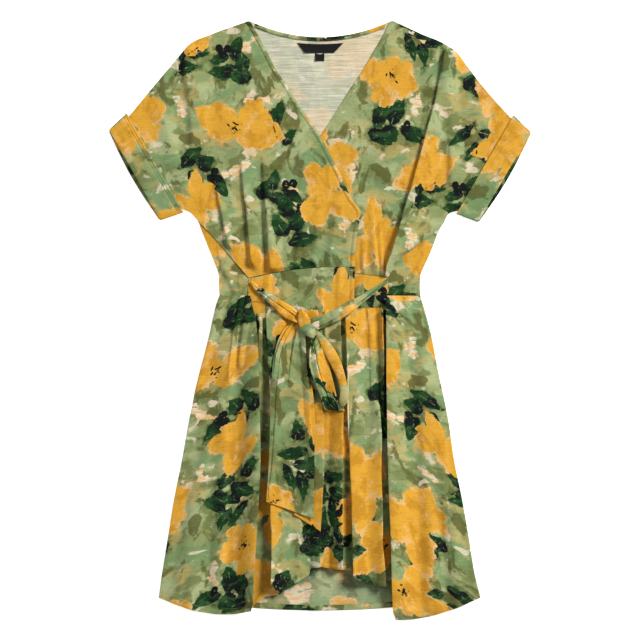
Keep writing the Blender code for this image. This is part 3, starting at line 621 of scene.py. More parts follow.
def through(table, rows):
    """Each column of a table at evenly spaced rows, on a curve that runs smoothly through all of its rows."""
    points = np.array(table, float)
    moves = np.diff(points, axis=0)
    longer_end = np.maximum(np.hypot(moves[:, 0], moves[:, 1]), np.hypot(moves[:, 2], moves[:, 3]))
    steps = np.maximum(longer_end, 1.0)
    knots = np.concatenate([[0], np.cumsum(steps)])
    slopes = moves / steps[:, None]
    tangents = np.empty_like(points)
    tangents[0], tangents[-1] = slopes[0], slopes[-1]
    before, after = steps[:-1, None], steps[1:, None]
    tangents[1:-1] = (slopes[:-1] * after + slopes[1:] * before) / (before + after)
    places = np.linspace(0, knots[-1], rows)
    span = np.clip(np.searchsorted(knots, places, "right") - 1, 0, len(steps) - 1)
    share = ((places - knots[span]) / steps[span])[:, None]
    run = steps[span, None]
    square, cube = share**2, share**3
    return (
        (2 * cube - 3 * square + 1) * points[span]
        + (cube - 2 * square + share) * run * tangents[span]
        + (3 * square - 2 * cube) * points[span + 1]
        + (cube - square) * run * tangents[span + 1]
    )


def rounded(profile, width, count):
    """Places and heights of a profile at evenly spaced points, on a smooth curve through its own points."""
    found = through([(p.place * width, p.height, p.place * width, p.height) for p in profile], count)
    return found[:, 0] / width, found[:, 1]


def bowed(height, share):
    """A bow of this height in the middle of an edge, and none at its ends."""
    return height * 4 * share * (1 - share)


def lattice(sections, columns, rows):
    """Plan points of a piece: x and y, by row and column."""
    left_x, left_y, right_x, right_y, bow = (v[:, None] for v in through(sections, rows).T)
    share = np.linspace(0, 1, columns)[None, :]
    x = mix(left_x, right_x, share)
    y = mix(left_y, right_y, share) + bowed(bow, share)
    return x, y


def points_at(x, y, z):
    """The points of a lattice, from their three places."""
    return np.stack(np.broadcast_arrays(x, y, z), axis=2)


# ------------------------------------------------------------------------ heights of layers


def swell_height(x, y):
    return sum(s.height * bump((x - s.x) / s.reach_x) * bump((y - s.y) / s.reach_y) for s in SWELLS)


def square_to(along, towards):
    """The direction square to another one that points the same way as a third."""
    across = Vector((-along.y, along.x))
    return -across if across.dot(towards) < 0 else across


def cuff_share(corners, x, y):
    """0 on the sleeve, 1 inside its cuff, rising over the last centimetres before the cuff."""
    top, foot, outer_top = (Vector(c) for c in corners[:3])
    along = (foot - top).normalized()
    outward = square_to(along, outer_top - top)
    away_x, away_y = x - top.x, y - top.y
    past_underarm = along.x * away_x + along.y * away_y - (foot - top).length
    beside = smooth((past_underarm + EDGE_MARGIN / 2) / SLEEVE_RAMP)
    out = outward.x * away_x + outward.y * away_y
    return smooth((out + EDGE_MARGIN + SLEEVE_RAMP) / SLEEVE_RAMP) * (1 - beside)


def sleeve_lift(x, y):
    return LAYER * np.maximum(cuff_share(CUFF_RIGHT, x, y), cuff_share(CUFF_LEFT, x, y))


def hem_lift(x, y):
    """Room under the fronts for the turned-up hem of the back."""
    inside = smooth((HEM_ROOM_SIDE - np.abs(x)) / HEM_ROOM_SIDE_FADE)
    return HEM_ROOM * inside * smooth((HEM_ROOM_TOP - y) / HEM_ROOM_TOP_FADE)


def front_floor(x, y):
    """Lower face of a layer that lies straight on the back."""
    calm = 1 - sleeve_lift(x, y) / LAYER
    return LAYER + sleeve_lift(x, y) + hem_lift(x, y) + swell_height(x, y) * calm


def past(inside):
    """0 well outside an edge, 1 where the cloth lies over it; inside is the distance past the edge."""
    return smooth((inside + EDGE_MARGIN + RAMP) / RAMP)


def beside_turn(y, top):
    """1 at the heights where a side is turned to the front, up to its top."""
    return smooth((top - y) / 12) * smooth(y - TURNS_FOOT)


def right_front_floor(x, y):
    over_left = past(x - edge_at(UNDER_EDGE, y))
    over_turn = past(edge_at(RIGHT_TURN_EDGE, y) - x) * beside_turn(y, RIGHT_TURN_TOP)
    return front_floor(x, y) + LAYER * np.maximum(over_left, over_turn)


def left_front_floor(x, y):
    return front_floor(x, y) + LAYER * past(x - edge_at(LEFT_TURN_EDGE, y)) * beside_turn(y, LEFT_TURN_TOP)


def right_turn_floor(x, y):
    return front_floor(x, y) + LAYER * past(x - edge_at(RIGHT_SKIRT_EDGE, y))


def left_turn_floor(x, y):
    return front_floor(x, y) + LAYER * past(edge_at(LEFT_SKIRT_EDGE, y) - x)


def back_floor(x, y):
    return sleeve_lift(x, y)


def creased(x, y, z, creases, fade=22.0):
    """The cloth with its folds raised, each crest leaning over to one side."""
    rise = np.zeros_like(x)
    shift_x = np.zeros_like(x)
    shift_y = np.zeros_like(x)
    for number, crease in enumerate(creases):
        run_x = crease.foot_x - crease.top_x
        run_y = crease.foot_y - crease.top_y
        run = math.hypot(run_x, run_y)
        along_x, along_y = run_x / run, run_y / run
        across_x, across_y = -along_y, along_x
        share = ((x - crease.top_x) * along_x + (y - crease.top_y) * along_y) / run
        beyond = np.maximum(np.maximum(-share, share - 1), 0) * run
        share = np.clip(share, 0, 1)
        wander = FOLD_WANDER * cloud(y, y * 0, 55, number + crease.top_x * 0.01)
        away = (x - crease.top_x) * across_x + (y - crease.top_y) * across_y
        away = away - bowed(crease.bow, share) - wander
        hump = bump(away / np.where(away < 0, crease.left, crease.right)) * bump(beyond / fade)
        uneven = 1 + FOLD_UNEVEN * cloud(y, y * 0, 38, number + 4.0)
        rise += mix(crease.top_rise, crease.foot_rise, share) * hump * uneven
        shift_x += crease.lean * across_x * hump**2
        shift_y += crease.lean * across_y * hump**2
    return x + shift_x, y + shift_y, z + rise


def step_lengths(points, axis):
    """Running length of the cloth along the rows (axis 1) or columns (axis 0)."""
    steps = np.linalg.norm(np.diff(points, axis=axis), axis=2)
    start = np.zeros_like(np.take(steps, [0], axis=axis))
    return np.cumsum(np.concatenate([start, steps], axis=axis), axis=axis)


def edge_distance(points, side):
    """How far each point of the cloth lies from one of its edges."""
    axis = 1 if side in ("left", "right") else 0
    run = step_lengths(points, axis)
    if side in ("right", "foot"):
        return np.take(run, [-1], axis=axis) - run
    return run


def seen_from(points, side):
    """The same lattice with one of its edges as the first column."""
    if side in ("top", "foot"):
        points = points.transpose(1, 0, 2)
    return points[:, ::-1] if side in ("right", "foot") else points


def lapped(points, laps):
    """Edges carried on under the next piece, each by its own width, a little lower than the cloth beside."""
    for side, width in laps.items():
        seen = seen_from(points, side)
        for column, inner_column, share in ((0, 6, 1.0), (1, 5, 0.6)):
            away = seen[:, column] - seen[:, inner_column]
            away[:, 2] = 0
            away *= width * share / np.maximum(np.linalg.norm(away, axis=1), 0.001)[:, None]
            away[:, 2] = -LAP_DROP
            seen[:, column] += away
    return points


def finish_edges(points, sides, seam, puff=0.7, groove=0.6):
    """Turned and topstitched edges: a slightly puffed margin with a groove along its stitching."""
    for side in sides:
        away = edge_distance(points, side)
        margin = np.where(away < seam, np.sin(np.pi * np.clip(away / seam, 0, 1)), 0)
        line = np.exp(-(((away - seam) / GROOVE_WIDTH) ** 2))
        along = edge_distance(points, "top" if side in ("left", "right") else "left")
        pucker = 0.5 + 0.5 * np.sin(along / PUCKER)
        points[:, :, 2] += puff * margin - groove * line * (0.6 + 0.4 * pucker)
    return points


# ------------------------------------------------------------------------ print

TILE_X = 520.0
TILE_Y = 560.0
FAR = 60.0  # outside every motif
EYE_DOTS = 9
Blossom = namedtuple("Blossom", "x y size turn petals eye")
Sprig = namedtuple("Sprig", "x y turn length leaves berries")
Stroke = namedtuple("Stroke", "x y length width turn")
Wash = namedtuple("Wash", "colour wide tall turn low high strength swirl")
BLOSSOMS = [
    Blossom(60, 66, 62, 0.3, 5, 0),
    Blossom(212, 40, 50, 1.2, 4, 1),
    Blossom(372, 78, 66, 2.2, 5, 0),
    Blossom(492, 196, 52, 0.9, 4, 0),
    Blossom(134, 196, 56, 2.9, 5, 1),
    Blossom(286, 190, 46, 0.1, 4, 0),
    Blossom(10, 322, 54, 1.9, 5, 0),
    Blossom(200, 338, 66, 0.7, 5, 0),
    Blossom(362, 310, 60, 2.5, 4, 1),
    Blossom(474, 408, 48, 1.5, 4, 0),
    Blossom(94, 460, 58, 0.2, 5, 0),
    Blossom(290, 470, 54, 2.0, 4, 0),
    Blossom(428, 524, 56, 1.1, 5, 1),
]
SPRIGS = [
    Sprig(118, 92, 0.9, 66, 4, 2),
    Sprig(300, 116, 2.5, 58, 3, 1),
    Sprig(432, 116, 1.2, 60, 4, 0),
    Sprig(52, 150, 1.9, 60, 3, 3),
    Sprig(222, 112, -0.6, 50, 3, 0),
    Sprig(384, 190, 0.3, 60, 3, 2),
    Sprig(176, 262, 2.7, 66, 4, 1),
    Sprig(262, 250, -0.3, 56, 3, 3),
    Sprig(440, 270, 1.9, 60, 3, 0),
    Sprig(92, 376, -0.9, 62, 4, 2),
    Sprig(268, 396, 0.8, 58, 3, 0),
    Sprig(396, 384, 2.3, 62, 4, 3),
    Sprig(172, 508, 0.2, 64, 4, 1),
    Sprig(16, 528, 1.2, 56, 3, 2),
    Sprig(352, 540, -1.3, 56, 3, 0),
    Sprig(504, 62, 2.9, 54, 3, 1),
    Sprig(56, 262, 0.4, 54, 3, 0),
    Sprig(330, 22, 0.2, 50, 3, 0),
]
CREAM_STROKES = [
    Stroke(150, 142, 52, 22, 0.9),
    Stroke(262, 84, 44, 17, 2.2),
    Stroke(330, 238, 58, 20, 0.2),
    Stroke(440, 176, 40, 22, 1.3),
    Stroke(40, 220, 50, 16, 2.7),
    Stroke(110, 296, 56, 20, 0.5),
    Stroke(276, 328, 42, 20, 1.8),
    Stroke(424, 342, 52, 18, 2.9),
    Stroke(512, 470, 48, 22, 0.8),
    Stroke(160, 426, 46, 17, 2.0),
    Stroke(352, 424, 56, 19, 0.4),
    Stroke(236, 532, 48, 18, 1.1),
    Stroke(6, 130, 46, 15, 1.7),
    Stroke(470, 14, 54, 19, 2.4),
    Stroke(310, 136, 36, 15, 1.0),
    Stroke(64, 340, 40, 14, 1.4),
    Stroke(0, 516, 52, 34, 0.2),
]
OLIVE_LEAVES = [
    Stroke(112, 34, 44, 26, 0.4),
    Stroke(300, 50, 40, 24, 1.5),
    Stroke(220, 212, 46, 24, 2.3),
    Stroke(414, 240, 46, 26, 0.7),
    Stroke(74, 270, 40, 25, 1.2),
    Stroke(308, 284, 44, 22, 2.8),
    Stroke(130, 376, 46, 24, 0.1),
    Stroke(430, 452, 42, 26, 1.9),
    Stroke(220, 432, 44, 24, 2.5),
    Stroke(344, 496, 40, 25, 0.9),
    Stroke(30, 410, 46, 24, 2.1),
    Stroke(500, 296, 40, 26, 1.0),
    Stroke(176, 156, 38, 22, 1.9),
    Stroke(462, 110, 40, 22, 2.6),
    Stroke(4, 20, 42, 22, 0.2),
    Stroke(246, 140, 34, 20, 0.9),
]


# Washes of the ground, one over the other: how fine their noise is, its turn, its limits and its strength.
WASHES = [
    Wash("mint", 15, 19, 0.4, 0.45, 0.56, 1.0, 0.5),
    Wash("moss", 21, 27, -0.5, 0.505, 0.58, 0.8, 0.5),
    Wash("fern", 12, 17, 2.6, 0.49, 0.60, 0.85, 0.8),
    Wash("straw", 17, 24, 1.1, 0.55, 0.62, 0.5, 0.7),
    Wash("olive", 30, 21, 0.2, 0.555, 0.61, 0.82, 0.6),
    Wash("cream", 26, 36, 2.0, 0.60, 0.65, 0.75, 0.5),
    Wash("mint", 70, 46, 0.7, 0.56, 0.70, 0.40, 0.4),
    Wash("moss", 90, 60, -0.9, 0.56, 0.70, 0.35, 0.4),
]
FADED = (0.66, 0.64, 0.52, 1)  # what the print fades towards on its wrong side
LIGHT_STREAK = (0.85, 0.81, 0.69, 1)
DARK_STREAK = (0.29, 0.33, 0.22, 1)
TAPE_RIB = (0.012, 0.011, 0.012, 1)
OLIVE_THREAD = (0.30, 0.33, 0.12, 1)
# near-black hem thread: real stitches, darkened to also paint the shadow line along the hem's stitching
DARK_THREAD_AND_SHADOW = (0.06, 0.06, 0.02, 1)


def around(value, tile):
    """Distance along one axis to the nearest repeat of the print."""
    return (value + tile / 2) % tile - tile / 2


def turned(u, v, x, y, turn):
    """Cloth places seen from a motif's own middle and direction."""
    across, up = around(u - x, TILE_X), around(v - y, TILE_Y)
    return across * math.cos(turn) + up * math.sin(turn), up * math.cos(turn) - across * math.sin(turn)


def lobe(along, across, length, width, fore, aft):
    """How far a place is outside a petal or leaf that starts at 0; fore and aft set where it is widest."""
    share = np.clip(along / length, 0, 1)
    widest = fore / (fore + aft)
    fullness = share**fore * (1 - share) ** aft / (widest**fore * (1 - widest) ** aft)
    beyond = np.maximum(-along, along - length)
    return np.maximum(np.abs(across) - width / 2 * fullness, beyond)


def petal_shape(u, v, flower, number, petal):
    """How far each place is outside one petal: every other one is pointed, the rest are blunt and cleft."""
    jitter = math.sin(number * 12.9 + petal * 78.2)
    sway = math.sin(number * 5.1 + petal * 33.3)
    turn = flower.turn + 2 * math.pi * (petal + 0.24 * jitter) / flower.petals
    along, across = turned(u, v, flower.x, flower.y, turn)
    length = flower.size * (0.92 + 0.24 * sway)
    width = flower.size * (0.76 + 0.2 * jitter) * (5 / flower.petals) ** 0.5
    pointed = (petal + number) % 2 == 0
    length = length * (1.28 if pointed else 0.96)
    across = across - 9 * sway * np.sin(along / length * 2.2)
    shape = lobe(along + 7, across, length + 7, width, 0.8, 0.95 if pointed else 0.34)
    cleft = np.exp(-(((across - 5 * jitter) / 2.6) ** 2)) * smooth((along / length - 0.62) / 0.3)
    return shape + (3.0 if pointed else 9.0) * cleft


def eye_dot(u, v, flower, dot):
    """How far each place is outside one of the dots that spiral out in a flower's eye."""
    angle, reach = dot * 2.4 + flower.turn, 2.0 + 1.2 * dot
    x, y = flower.x + reach * math.cos(angle), flower.y + reach * math.sin(angle)
    along, across = turned(u, v, x, y, angle * 1.7)
    return np.hypot(along * 0.7, across * 1.5) - 2.7


def stem_shape(along, across, sprig):
    stem = np.maximum(np.abs(across - 6 * np.sin(along / sprig.length * 3.0)) - 1.1, -along)
    return np.maximum(stem, along - sprig.length)


def leaf_shape(along, across, sprig, number, place):
    """How far each place is outside one leaf of a sprig, beside its rib, and up it in tenths of its own."""
    share = (place + 0.45) / (sprig.leaves + 1)
    side = 1 if (place + number) % 2 else -1
    length = 46 + 10 * math.sin(number * 3.7 + place * 2.1)
    width = 24 + 5 * math.sin(number * 1.3 + place * 5.7)
    turn = side * (0.8 + 0.25 * math.sin(number + place))
    away, aside = along - sprig.length * share, across - 6 * math.sin(share * 3.0)
    out = away * math.cos(turn) + aside * math.sin(turn)
    beside = aside * math.cos(turn) - away * math.sin(turn) - 3 * np.sin(out / length * 3)
    return lobe(out, beside, length, width, 0.8, 1.2), beside, out / length * 10


def berry_shape(along, across, sprig, place):
    """How far each place is outside one of the berries at a sprig's tip."""
    angle = place * 2.1 + sprig.turn
    reach = 0 if sprig.berries == 1 else 7.0
    x, y = sprig.length + 6 + reach * math.cos(angle), 4 + reach * math.sin(angle)
    return np.hypot(along - x, across - y) - 7.4


def nearest_stroke(u, v, strokes, sway, wave, fore, aft):
    """How far each place is outside the nearest of some brush strokes, which wind a little."""
    nearest = np.full_like(u, FAR)
    for s in strokes:
        along, across = turned(u, v, s.x, s.y, s.turn)
        shape = lobe(along, across + sway * np.sin(along / wave), s.length, s.width, fore, aft)
        nearest = np.minimum(nearest, shape)
    return nearest


def print_fields(u, v):
    """How far each place of the cloth is from the blossoms, leaves, berries and strokes, in centimetres."""
    blossom, second, berry, leaf, rib, base = (np.full_like(u, FAR) for _ in range(6))
    for number, flower in enumerate(BLOSSOMS):
        for petal in range(flower.petals):
            shape = petal_shape(u, v, flower, number, petal)
            second = np.minimum(second, np.maximum(blossom, shape))
            blossom = np.minimum(blossom, shape)
        for dot in range(EYE_DOTS if flower.eye else 0):
            berry = np.minimum(berry, eye_dot(u, v, flower, dot))
    for number, sprig in enumerate(SPRIGS):
        along, across = turned(u, v, sprig.x, sprig.y, sprig.turn)
        berry = np.minimum(berry, stem_shape(along, across, sprig))
        for place in range(sprig.leaves + 1):
            shape, beside, up = leaf_shape(along, across, sprig, number, place)
            nearer = shape < leaf
            rib = np.where(nearer, beside, rib)
            base = np.where(nearer, up, base)
            leaf = np.minimum(leaf, shape)
        for place in range(sprig.berries):
            berry = np.minimum(berry, berry_shape(along, across, sprig, place))
    cream = nearest_stroke(u, v, CREAM_STROKES, 4, 12, 0.5, 0.4)
    olive = nearest_stroke(u, v, OLIVE_LEAVES, 3, 14, 0.7, 0.6)
    made = {"blossom": blossom, "petal": second - blossom, "leaf": leaf, "rib": rib, "base": base}
    made.update(berry=berry, cream=cream, olive=olive)
    return {name: np.clip(value, -30, 30) / 10 for name, value in made.items()}


# ------------------------------------------------------------------------ materials


class Painter:
    """Adds nodes to a material's tree, and joins or sets their sockets."""

    def __init__(self, tree):
        self.tree = tree

    def add(self, kind, sockets=None, out=0, **settings):
        node = self.tree.nodes.new(kind)
        for name, value in settings.items():
            setattr(node, name, value)
        for key, value in (sockets or {}).items():
            if isinstance(value, bpy.types.NodeSocket):
                self.tree.links.new(value, node.inputs[key])
            else:
                node.inputs[key].default_value = value
        return node.outputs[out]

    def maths(self, operation, first, second=0.0, third=0.0):
        return self.add("ShaderNodeMath", {0: first, 1: second, 2: third}, operation=operation)

    def step(self, value, low, high):
        """0 at low, 1 at high, softly between."""
        sockets = {"Value": value, "From Min": low, "From Max": high}
        return self.add("ShaderNodeMapRange", sockets, interpolation_type="SMOOTHSTEP")

    def blend(self, factor, first, second, blend_type="MIX"):
        sockets = {0: factor, 6: first, 7: second}
        return self.add("ShaderNodeMix", sockets, out=2, data_type="RGBA", blend_type=blend_type)

    def noise(self, vector, scale, detail=3.0, roughness=0.55, distortion=0.0):
        sockets = {
            "Vector": vector,
            "Scale": scale,
            "Detail": detail,
            "Roughness": roughness,
            "Distortion": distortion,
        }
        return self.add("ShaderNodeTexNoise", sockets)

    def stretched(self, vector, scale, turn=0.0):
        sockets = {"Vector": vector, "Rotation": (0, 0, turn), "Scale": scale}
        return self.add("ShaderNodeMapping", sockets)

    def field(self, name):
        return self.add("ShaderNodeAttribute", out=2, attribute_name=name)

    def times(self, first, second):
        return self.maths("MULTIPLY", first, second)

    def plus_times(self, value, factor, added):
        return self.maths("MULTIPLY_ADD", value, factor, added)


class PrintPainter(Painter):
    """Paints the print over the cloth's own places, and its threads."""

    def __init__(self, tree, colours):
        super().__init__(tree)
        self.colours = colours
        self.cloth = self.add("ShaderNodeUVMap", uv_map="cloth")
        self.ragged = self.maths("SUBTRACT", self.noise(self.cloth, 95, 5, 0.66), 0.5)
        self.bristly = self.maths("SUBTRACT", self.brushed(700, 420, 0.7, 3, 0.6), 0.5)
        cells = {"Vector": self.cloth, "Scale": 64.0, "Detail": 1.0}
        torn = self.plus_times(self.add("ShaderNodeTexVoronoi", cells, feature="F1"), 0.55, -0.28)
        self.tear = self.plus_times(self.ragged, 1.0, self.plus_times(self.bristly, 0.26, torn))
        self.speckle = self.step(self.noise(self.cloth, 330, 4, 0.72), 0.65, 0.71)

    def brushed(self, wide, tall, turn, detail, roughness, swirl=0.0):
        """Noise drawn out to one side, as by a brush; the greater wide and tall, the finer it is."""
        place = self.stretched(self.cloth, (wide, tall, 1), turn)
        return self.noise(place, 1.0, detail, roughness, swirl)

    def torn_field(self, name, spread):
        """One of the print's fields, its outline torn."""
        return self.plus_times(self.tear, spread, self.field(name))

    def shape(self, name, spread, crisp, grow=0.0):
        """1 inside a field's torn outline, 0 outside."""
        return self.step(self.torn_field(name, spread), crisp + grow, grow - crisp)

    def over(self, base, colour, mask, strength):
        """A colour over another where the mask is 1, as strongly as told."""
        return self.blend(self.times(mask, strength), base, colour)

    def ground(self):
        """The washes, darker round leaves and warmer round flowers, then olive leaves and bare strokes."""
        colours = self.colours
        ground = colours.sage
        for wash in WASHES:
            found = self.brushed(wash.wide, wash.tall, wash.turn, 4, 0.54, wash.swirl)
            found = self.step(found, wash.low, wash.high)
            ground = self.over(ground, getattr(colours, wash.colour), found, wash.strength)
        near_flower = self.torn_field("blossom", 3.2)
        ground = self.over(ground, colours.straw, self.step(near_flower, 1.2, 0.55), 0.4)
        near_leaf = self.torn_field("leaf", 3.4)
        ground = self.over(ground, colours.moss, self.step(near_leaf, 1.1, 0.4), 0.8)
        ground = self.over(ground, colours.sprout, self.step(near_leaf, 0.5, 0.1), 0.7)
        ground = self.over(ground, colours.olive, self.shape("olive", 1.3, 0.16), 0.82)
        brush = self.brushed(34, 120, 0.8, 5, 0.62, 0.5)
        chalk = self.blend(self.step(brush, 0.45, 0.58), colours.cream, colours.peach)
        bare = self.times(self.shape("cream", 2.0, 0.2), self.step(brush, 0.30, 0.46))
        ground = self.blend(bare, ground, chalk)
        return self.over(ground, colours.moss, self.speckle, 0.40)

    def leaves(self):
        """The leaves' colour: a dark base, light patches, dry scratches and a rib."""
        colours = self.colours
        green = self.blend(self.step(self.torn_field("base", 0.8), 0.74, 0.38), colours.leaf, colours.berry)
        patch = self.brushed(44, 76, 0.5, 5, 0.66, 0.8)
        green = self.over(green, colours.sprout, self.step(patch, 0.49, 0.60), 0.7)
        scratch = self.brushed(60, 240, 0.9, 4, 0.7)
        green = self.over(green, colours.sage, self.step(scratch, 0.63, 0.69), 0.6)
        away = self.maths("ABSOLUTE", self.plus_times(self.bristly, 0.3, self.field("rib")))
        rib = self.times(self.step(away, 0.085, 0.03), self.step(self.ragged, 0.0, 0.12))
        return self.over(green, colours.mint, rib, 0.6)

    def with_blossoms(self, ground):
        """Blossoms on their ground: shaded, parted into petals, pale at the rims, with a broken pale halo."""
        colours = self.colours
        shade = self.brushed(36, 26, 0.9, 6, 0.64, 0.5)
        light = self.brushed(46, 30, -0.6, 6, 0.66, 0.4)
        gold = self.over(colours.mustard, colours.ochre, self.step(shade, 0.46, 0.60), 0.85)
        gold = self.over(gold, colours.ochre, self.step(self.torn_field("petal", 1.2), 0.42, 0.04), 0.5)
        gold = self.over(gold, colours.peach, self.step(light, 0.53, 0.66), 0.7)
        rim = self.step(self.torn_field("blossom", 2.0), -0.35, 0.0)
        gold = self.over(gold, colours.peach, self.times(rim, self.step(light, 0.46, 0.56)), 0.6)
        gold = self.over(gold, colours.ochre, self.speckle, 0.3)
        halo = self.times(self.shape("blossom", 1.6, 0.06, 0.2), self.step(light, 0.44, 0.54))
        ground = self.blend(halo, ground, colours.peach)
        return self.blend(self.shape("blossom", 1.1, 0.04), ground, gold)

    def painted(self):
        """The whole print's colour: ground, leaves, blossoms, then berries and stems."""
        ground = self.blend(self.shape("leaf", 0.8, 0.04), self.ground(), self.leaves())
        ground = self.with_blossoms(ground)
        fleck = self.step(self.noise(self.cloth, 210, 3, 0.6), 0.62, 0.67)
        dark = self.over(self.colours.berry, self.colours.straw, fleck, 0.8)
        return self.blend(self.shape("berry", 0.55, 0.04), ground, dark)

    def faded(self, colour, paleness):
        """The print as its wrong side shows it: paler, with light and dark threads."""
        colour = self.blend(paleness, colour, FADED)
        streaks = self.brushed(20, 430, 0.0, 4, 0.66)
        colour = self.over(colour, LIGHT_STREAK, self.step(streaks, 0.51, 0.62), 0.7 * paleness)
        return self.over(colour, DARK_STREAK, self.step(streaks, 0.48, 0.37), 0.9 * paleness)

    def slubs(self):
        """Uneven weft threads, as fine broken lines across the cloth."""
        long_slubs = self.brushed(30, 900, 0.0, 3, 0.7)
        short_slubs = self.brushed(110, 1700, 0.0, 2, 0.6)
        warp = self.brushed(1500, 90, 0.0, 2, 0.6)
        both = self.maths("ADD", self.times(long_slubs, 0.55), self.times(short_slubs, 0.3))
        return self.plus_times(warp, 0.15, both)


def new_material(name):
    material = bpy.data.materials.new(name)
    material.use_nodes = True
    shader = material.node_tree.nodes["Principled BSDF"]
    return material, Painter(material.node_tree), shader


def print_cloth(colours, paleness=0.0):
    """Printed linen-like viscose; its wrong side shows the print more or less pale."""
    name = f"print_wrong_side_{paleness * 100:.0f}" if paleness else "print_right_side"
    if name in bpy.data.materials:
        return bpy.data.materials[name]
    material, _, shader = new_material(name)
    tree = material.node_tree
    paint = PrintPainter(tree, colours)
    colour = paint.painted()
    slubs = paint.slubs()
    if paleness:
        colour = paint.faded(colour, paleness)
    else:
        spread = {"Value": slubs, "From Min": 0.36, "From Max": 0.64, "To Min": 0.80, "To Max": 1.16}
        tone = paint.add("ShaderNodeMapRange", spread)
        grey = paint.add("ShaderNodeCombineColor", {"Red": tone, "Green": tone, "Blue": tone})
        colour = paint.blend(1.0, colour, grey, "MULTIPLY")
    tree.links.new(colour, shader.inputs["Base Color"])
    shader.inputs["Roughness"].default_value = 0.86
    shader.inputs["Specular IOR Level"].default_value = 0.1
    shader.inputs["Sheen Weight"].default_value = 0.04
    shader.inputs["Sheen Roughness"].default_value = 0.5
    rumple = paint.brushed(70, 45, 0.2, 4, 0.55, 0.6)
    rough = paint.add("ShaderNodeBump", {"Strength": 0.35, "Distance": 0.0016, "Height": rumple})
    threads = {"Strength": 0.4, "Distance": 0.00025, "Height": slubs, "Normal": rough}
    weave = paint.add("ShaderNodeBump", threads)
    tree.links.new(weave, shader.inputs["Normal"])
    return material


def label_cloth(colours):
    """Black satin-woven tape."""
    if "label_tape" in bpy.data.materials:
        return bpy.data.materials["label_tape"]
    material, paint, shader = new_material("label_tape")
    place = paint.add("ShaderNodeTexCoord", out=3)
    ribs = paint.noise(paint.stretched(place, (400, 2600, 1)), 1.0, 2, 0.5)
    colour = paint.blend(paint.step(ribs, 0.4, 0.7), colours.label, TAPE_RIB)
    material.node_tree.links.new(colour, shader.inputs["Base Color"])
    shader.inputs["Roughness"].default_value = 0.7
    shader.inputs["Specular IOR Level"].default_value = 0.15
    bumps = paint.add("ShaderNodeBump", {"Strength": 0.5, "Distance": 0.0002, "Height": ribs})
    material.node_tree.links.new(bumps, shader.inputs["Normal"])
    return material


def thread_finish(name, colour):
    if name in bpy.data.materials:
        return bpy.data.materials[name]
    material, paint, shader = new_material(name)
    place = paint.add("ShaderNodeTexCoord", out=3)
    tone = paint.noise(place, 900, 2, 0.5)
    dark = tuple(c * 0.6 for c in colour[:3]) + (1,)
    material.node_tree.links.new(paint.blend(tone, dark, tuple(colour)), shader.inputs["Base Color"])
    shader.inputs["Roughness"].default_value = 0.6
    return material


# ------------------------------------------------------------------------ mesh making

Print = namedtuple("Print", "x y turn")
built = {}  # the finished middle surface of each piece, by name, for stitching


def to_world(points):
    return (points - np.array([0, DRESS_LENGTH / 2, 0])) * MM


def grid_faces(rows, columns, ring=False):
    index = np.arange(rows * columns).reshape(rows, columns)
    if ring:
        index = np.concatenate([index, index[:, :1]], axis=1)
    a, b = index[:-1, :-1], index[:-1, 1:]
    c, d = index[1:, 1:], index[1:, :-1]
    return np.stack([a, d, c, b], axis=2).reshape(-1, 4)


def cloth_places(points, straight=False):
    """Each point's place on the flat cloth, in millimetres, by the running length of the laid cloth."""
    run = step_lengths(points, 1)
    middle = (points.shape[1] - 1) // 2
    across = run - run[:, middle : middle + 1]
    if straight:
        return across, -np.broadcast_to(step_lengths(points, 0)[:, middle : middle + 1], across.shape)
    return across + points[:, middle : middle + 1, 0], points[:, :, 1].copy()


def printed(name, points, faces, across, up, pattern, sides, thickness):
    """A shell of cloth through the points, with its places on the print and its print's fields."""
    turn = pattern.turn
    u = across * math.cos(turn) - up * math.sin(turn) + pattern.x
    v = across * math.sin(turn) + up * math.cos(turn) + pattern.y
    mesh = bpy.data.meshes.new(name)
    mesh.from_pydata(to_world(points.reshape(-1, 3)).tolist(), [], faces.tolist())
    corners = np.empty(len(mesh.loops), np.int32)
    mesh.loops.foreach_get("vertex_index", corners)
    places = np.stack([u.ravel(), v.ravel()], axis=1) * MM
    mesh.uv_layers.new(name="cloth").data.foreach_set("uv", places[corners].ravel())
    for field, values in print_fields(u, v).items():
        attribute = mesh.attributes.new(field, "FLOAT", "POINT")
        attribute.data.foreach_set("value", values.ravel().astype(np.float32))
    for material in sides:
        mesh.materials.append(material)
    piece = bpy.data.objects.new(name, mesh)
    bpy.context.scene.collection.objects.link(piece)
    give_thickness(piece, thickness)
    return piece


def sewn(name, points, pattern, sides, thickness, stands_for, rests_on, ring=False, straight=False,
         slot="print_cloth"):
    """A thin shell of cloth through a lattice of points, with its print, in place of its solid."""
    faces = grid_faces(*points.shape[:2], ring)
    piece = printed(name, points, faces, *cloth_places(points, straight), pattern, sides, thickness)
    built[name] = points
    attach(piece, BODY)
    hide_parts(stands_for)


def choose(piece):
    """Only this piece selected and active."""
    bpy.ops.object.select_all(action="DESELECT")
    piece.select_set(True)
    bpy.context.view_layer.objects.active = piece


def give_thickness(piece, thickness):
    choose(piece)
    wall = piece.modifiers.new("wall", "SOLIDIFY")
    wall.thickness = thickness
    wall.offset = 0
    wall.material_offset = 1
    bpy.ops.object.modifier_apply(modifier=wall.name)
    bpy.ops.object.shade_smooth_by_angle(angle=math.radians(60))


def in_millimetres(length):
    return length / MM


# ------------------------------------------------------------------------ operators


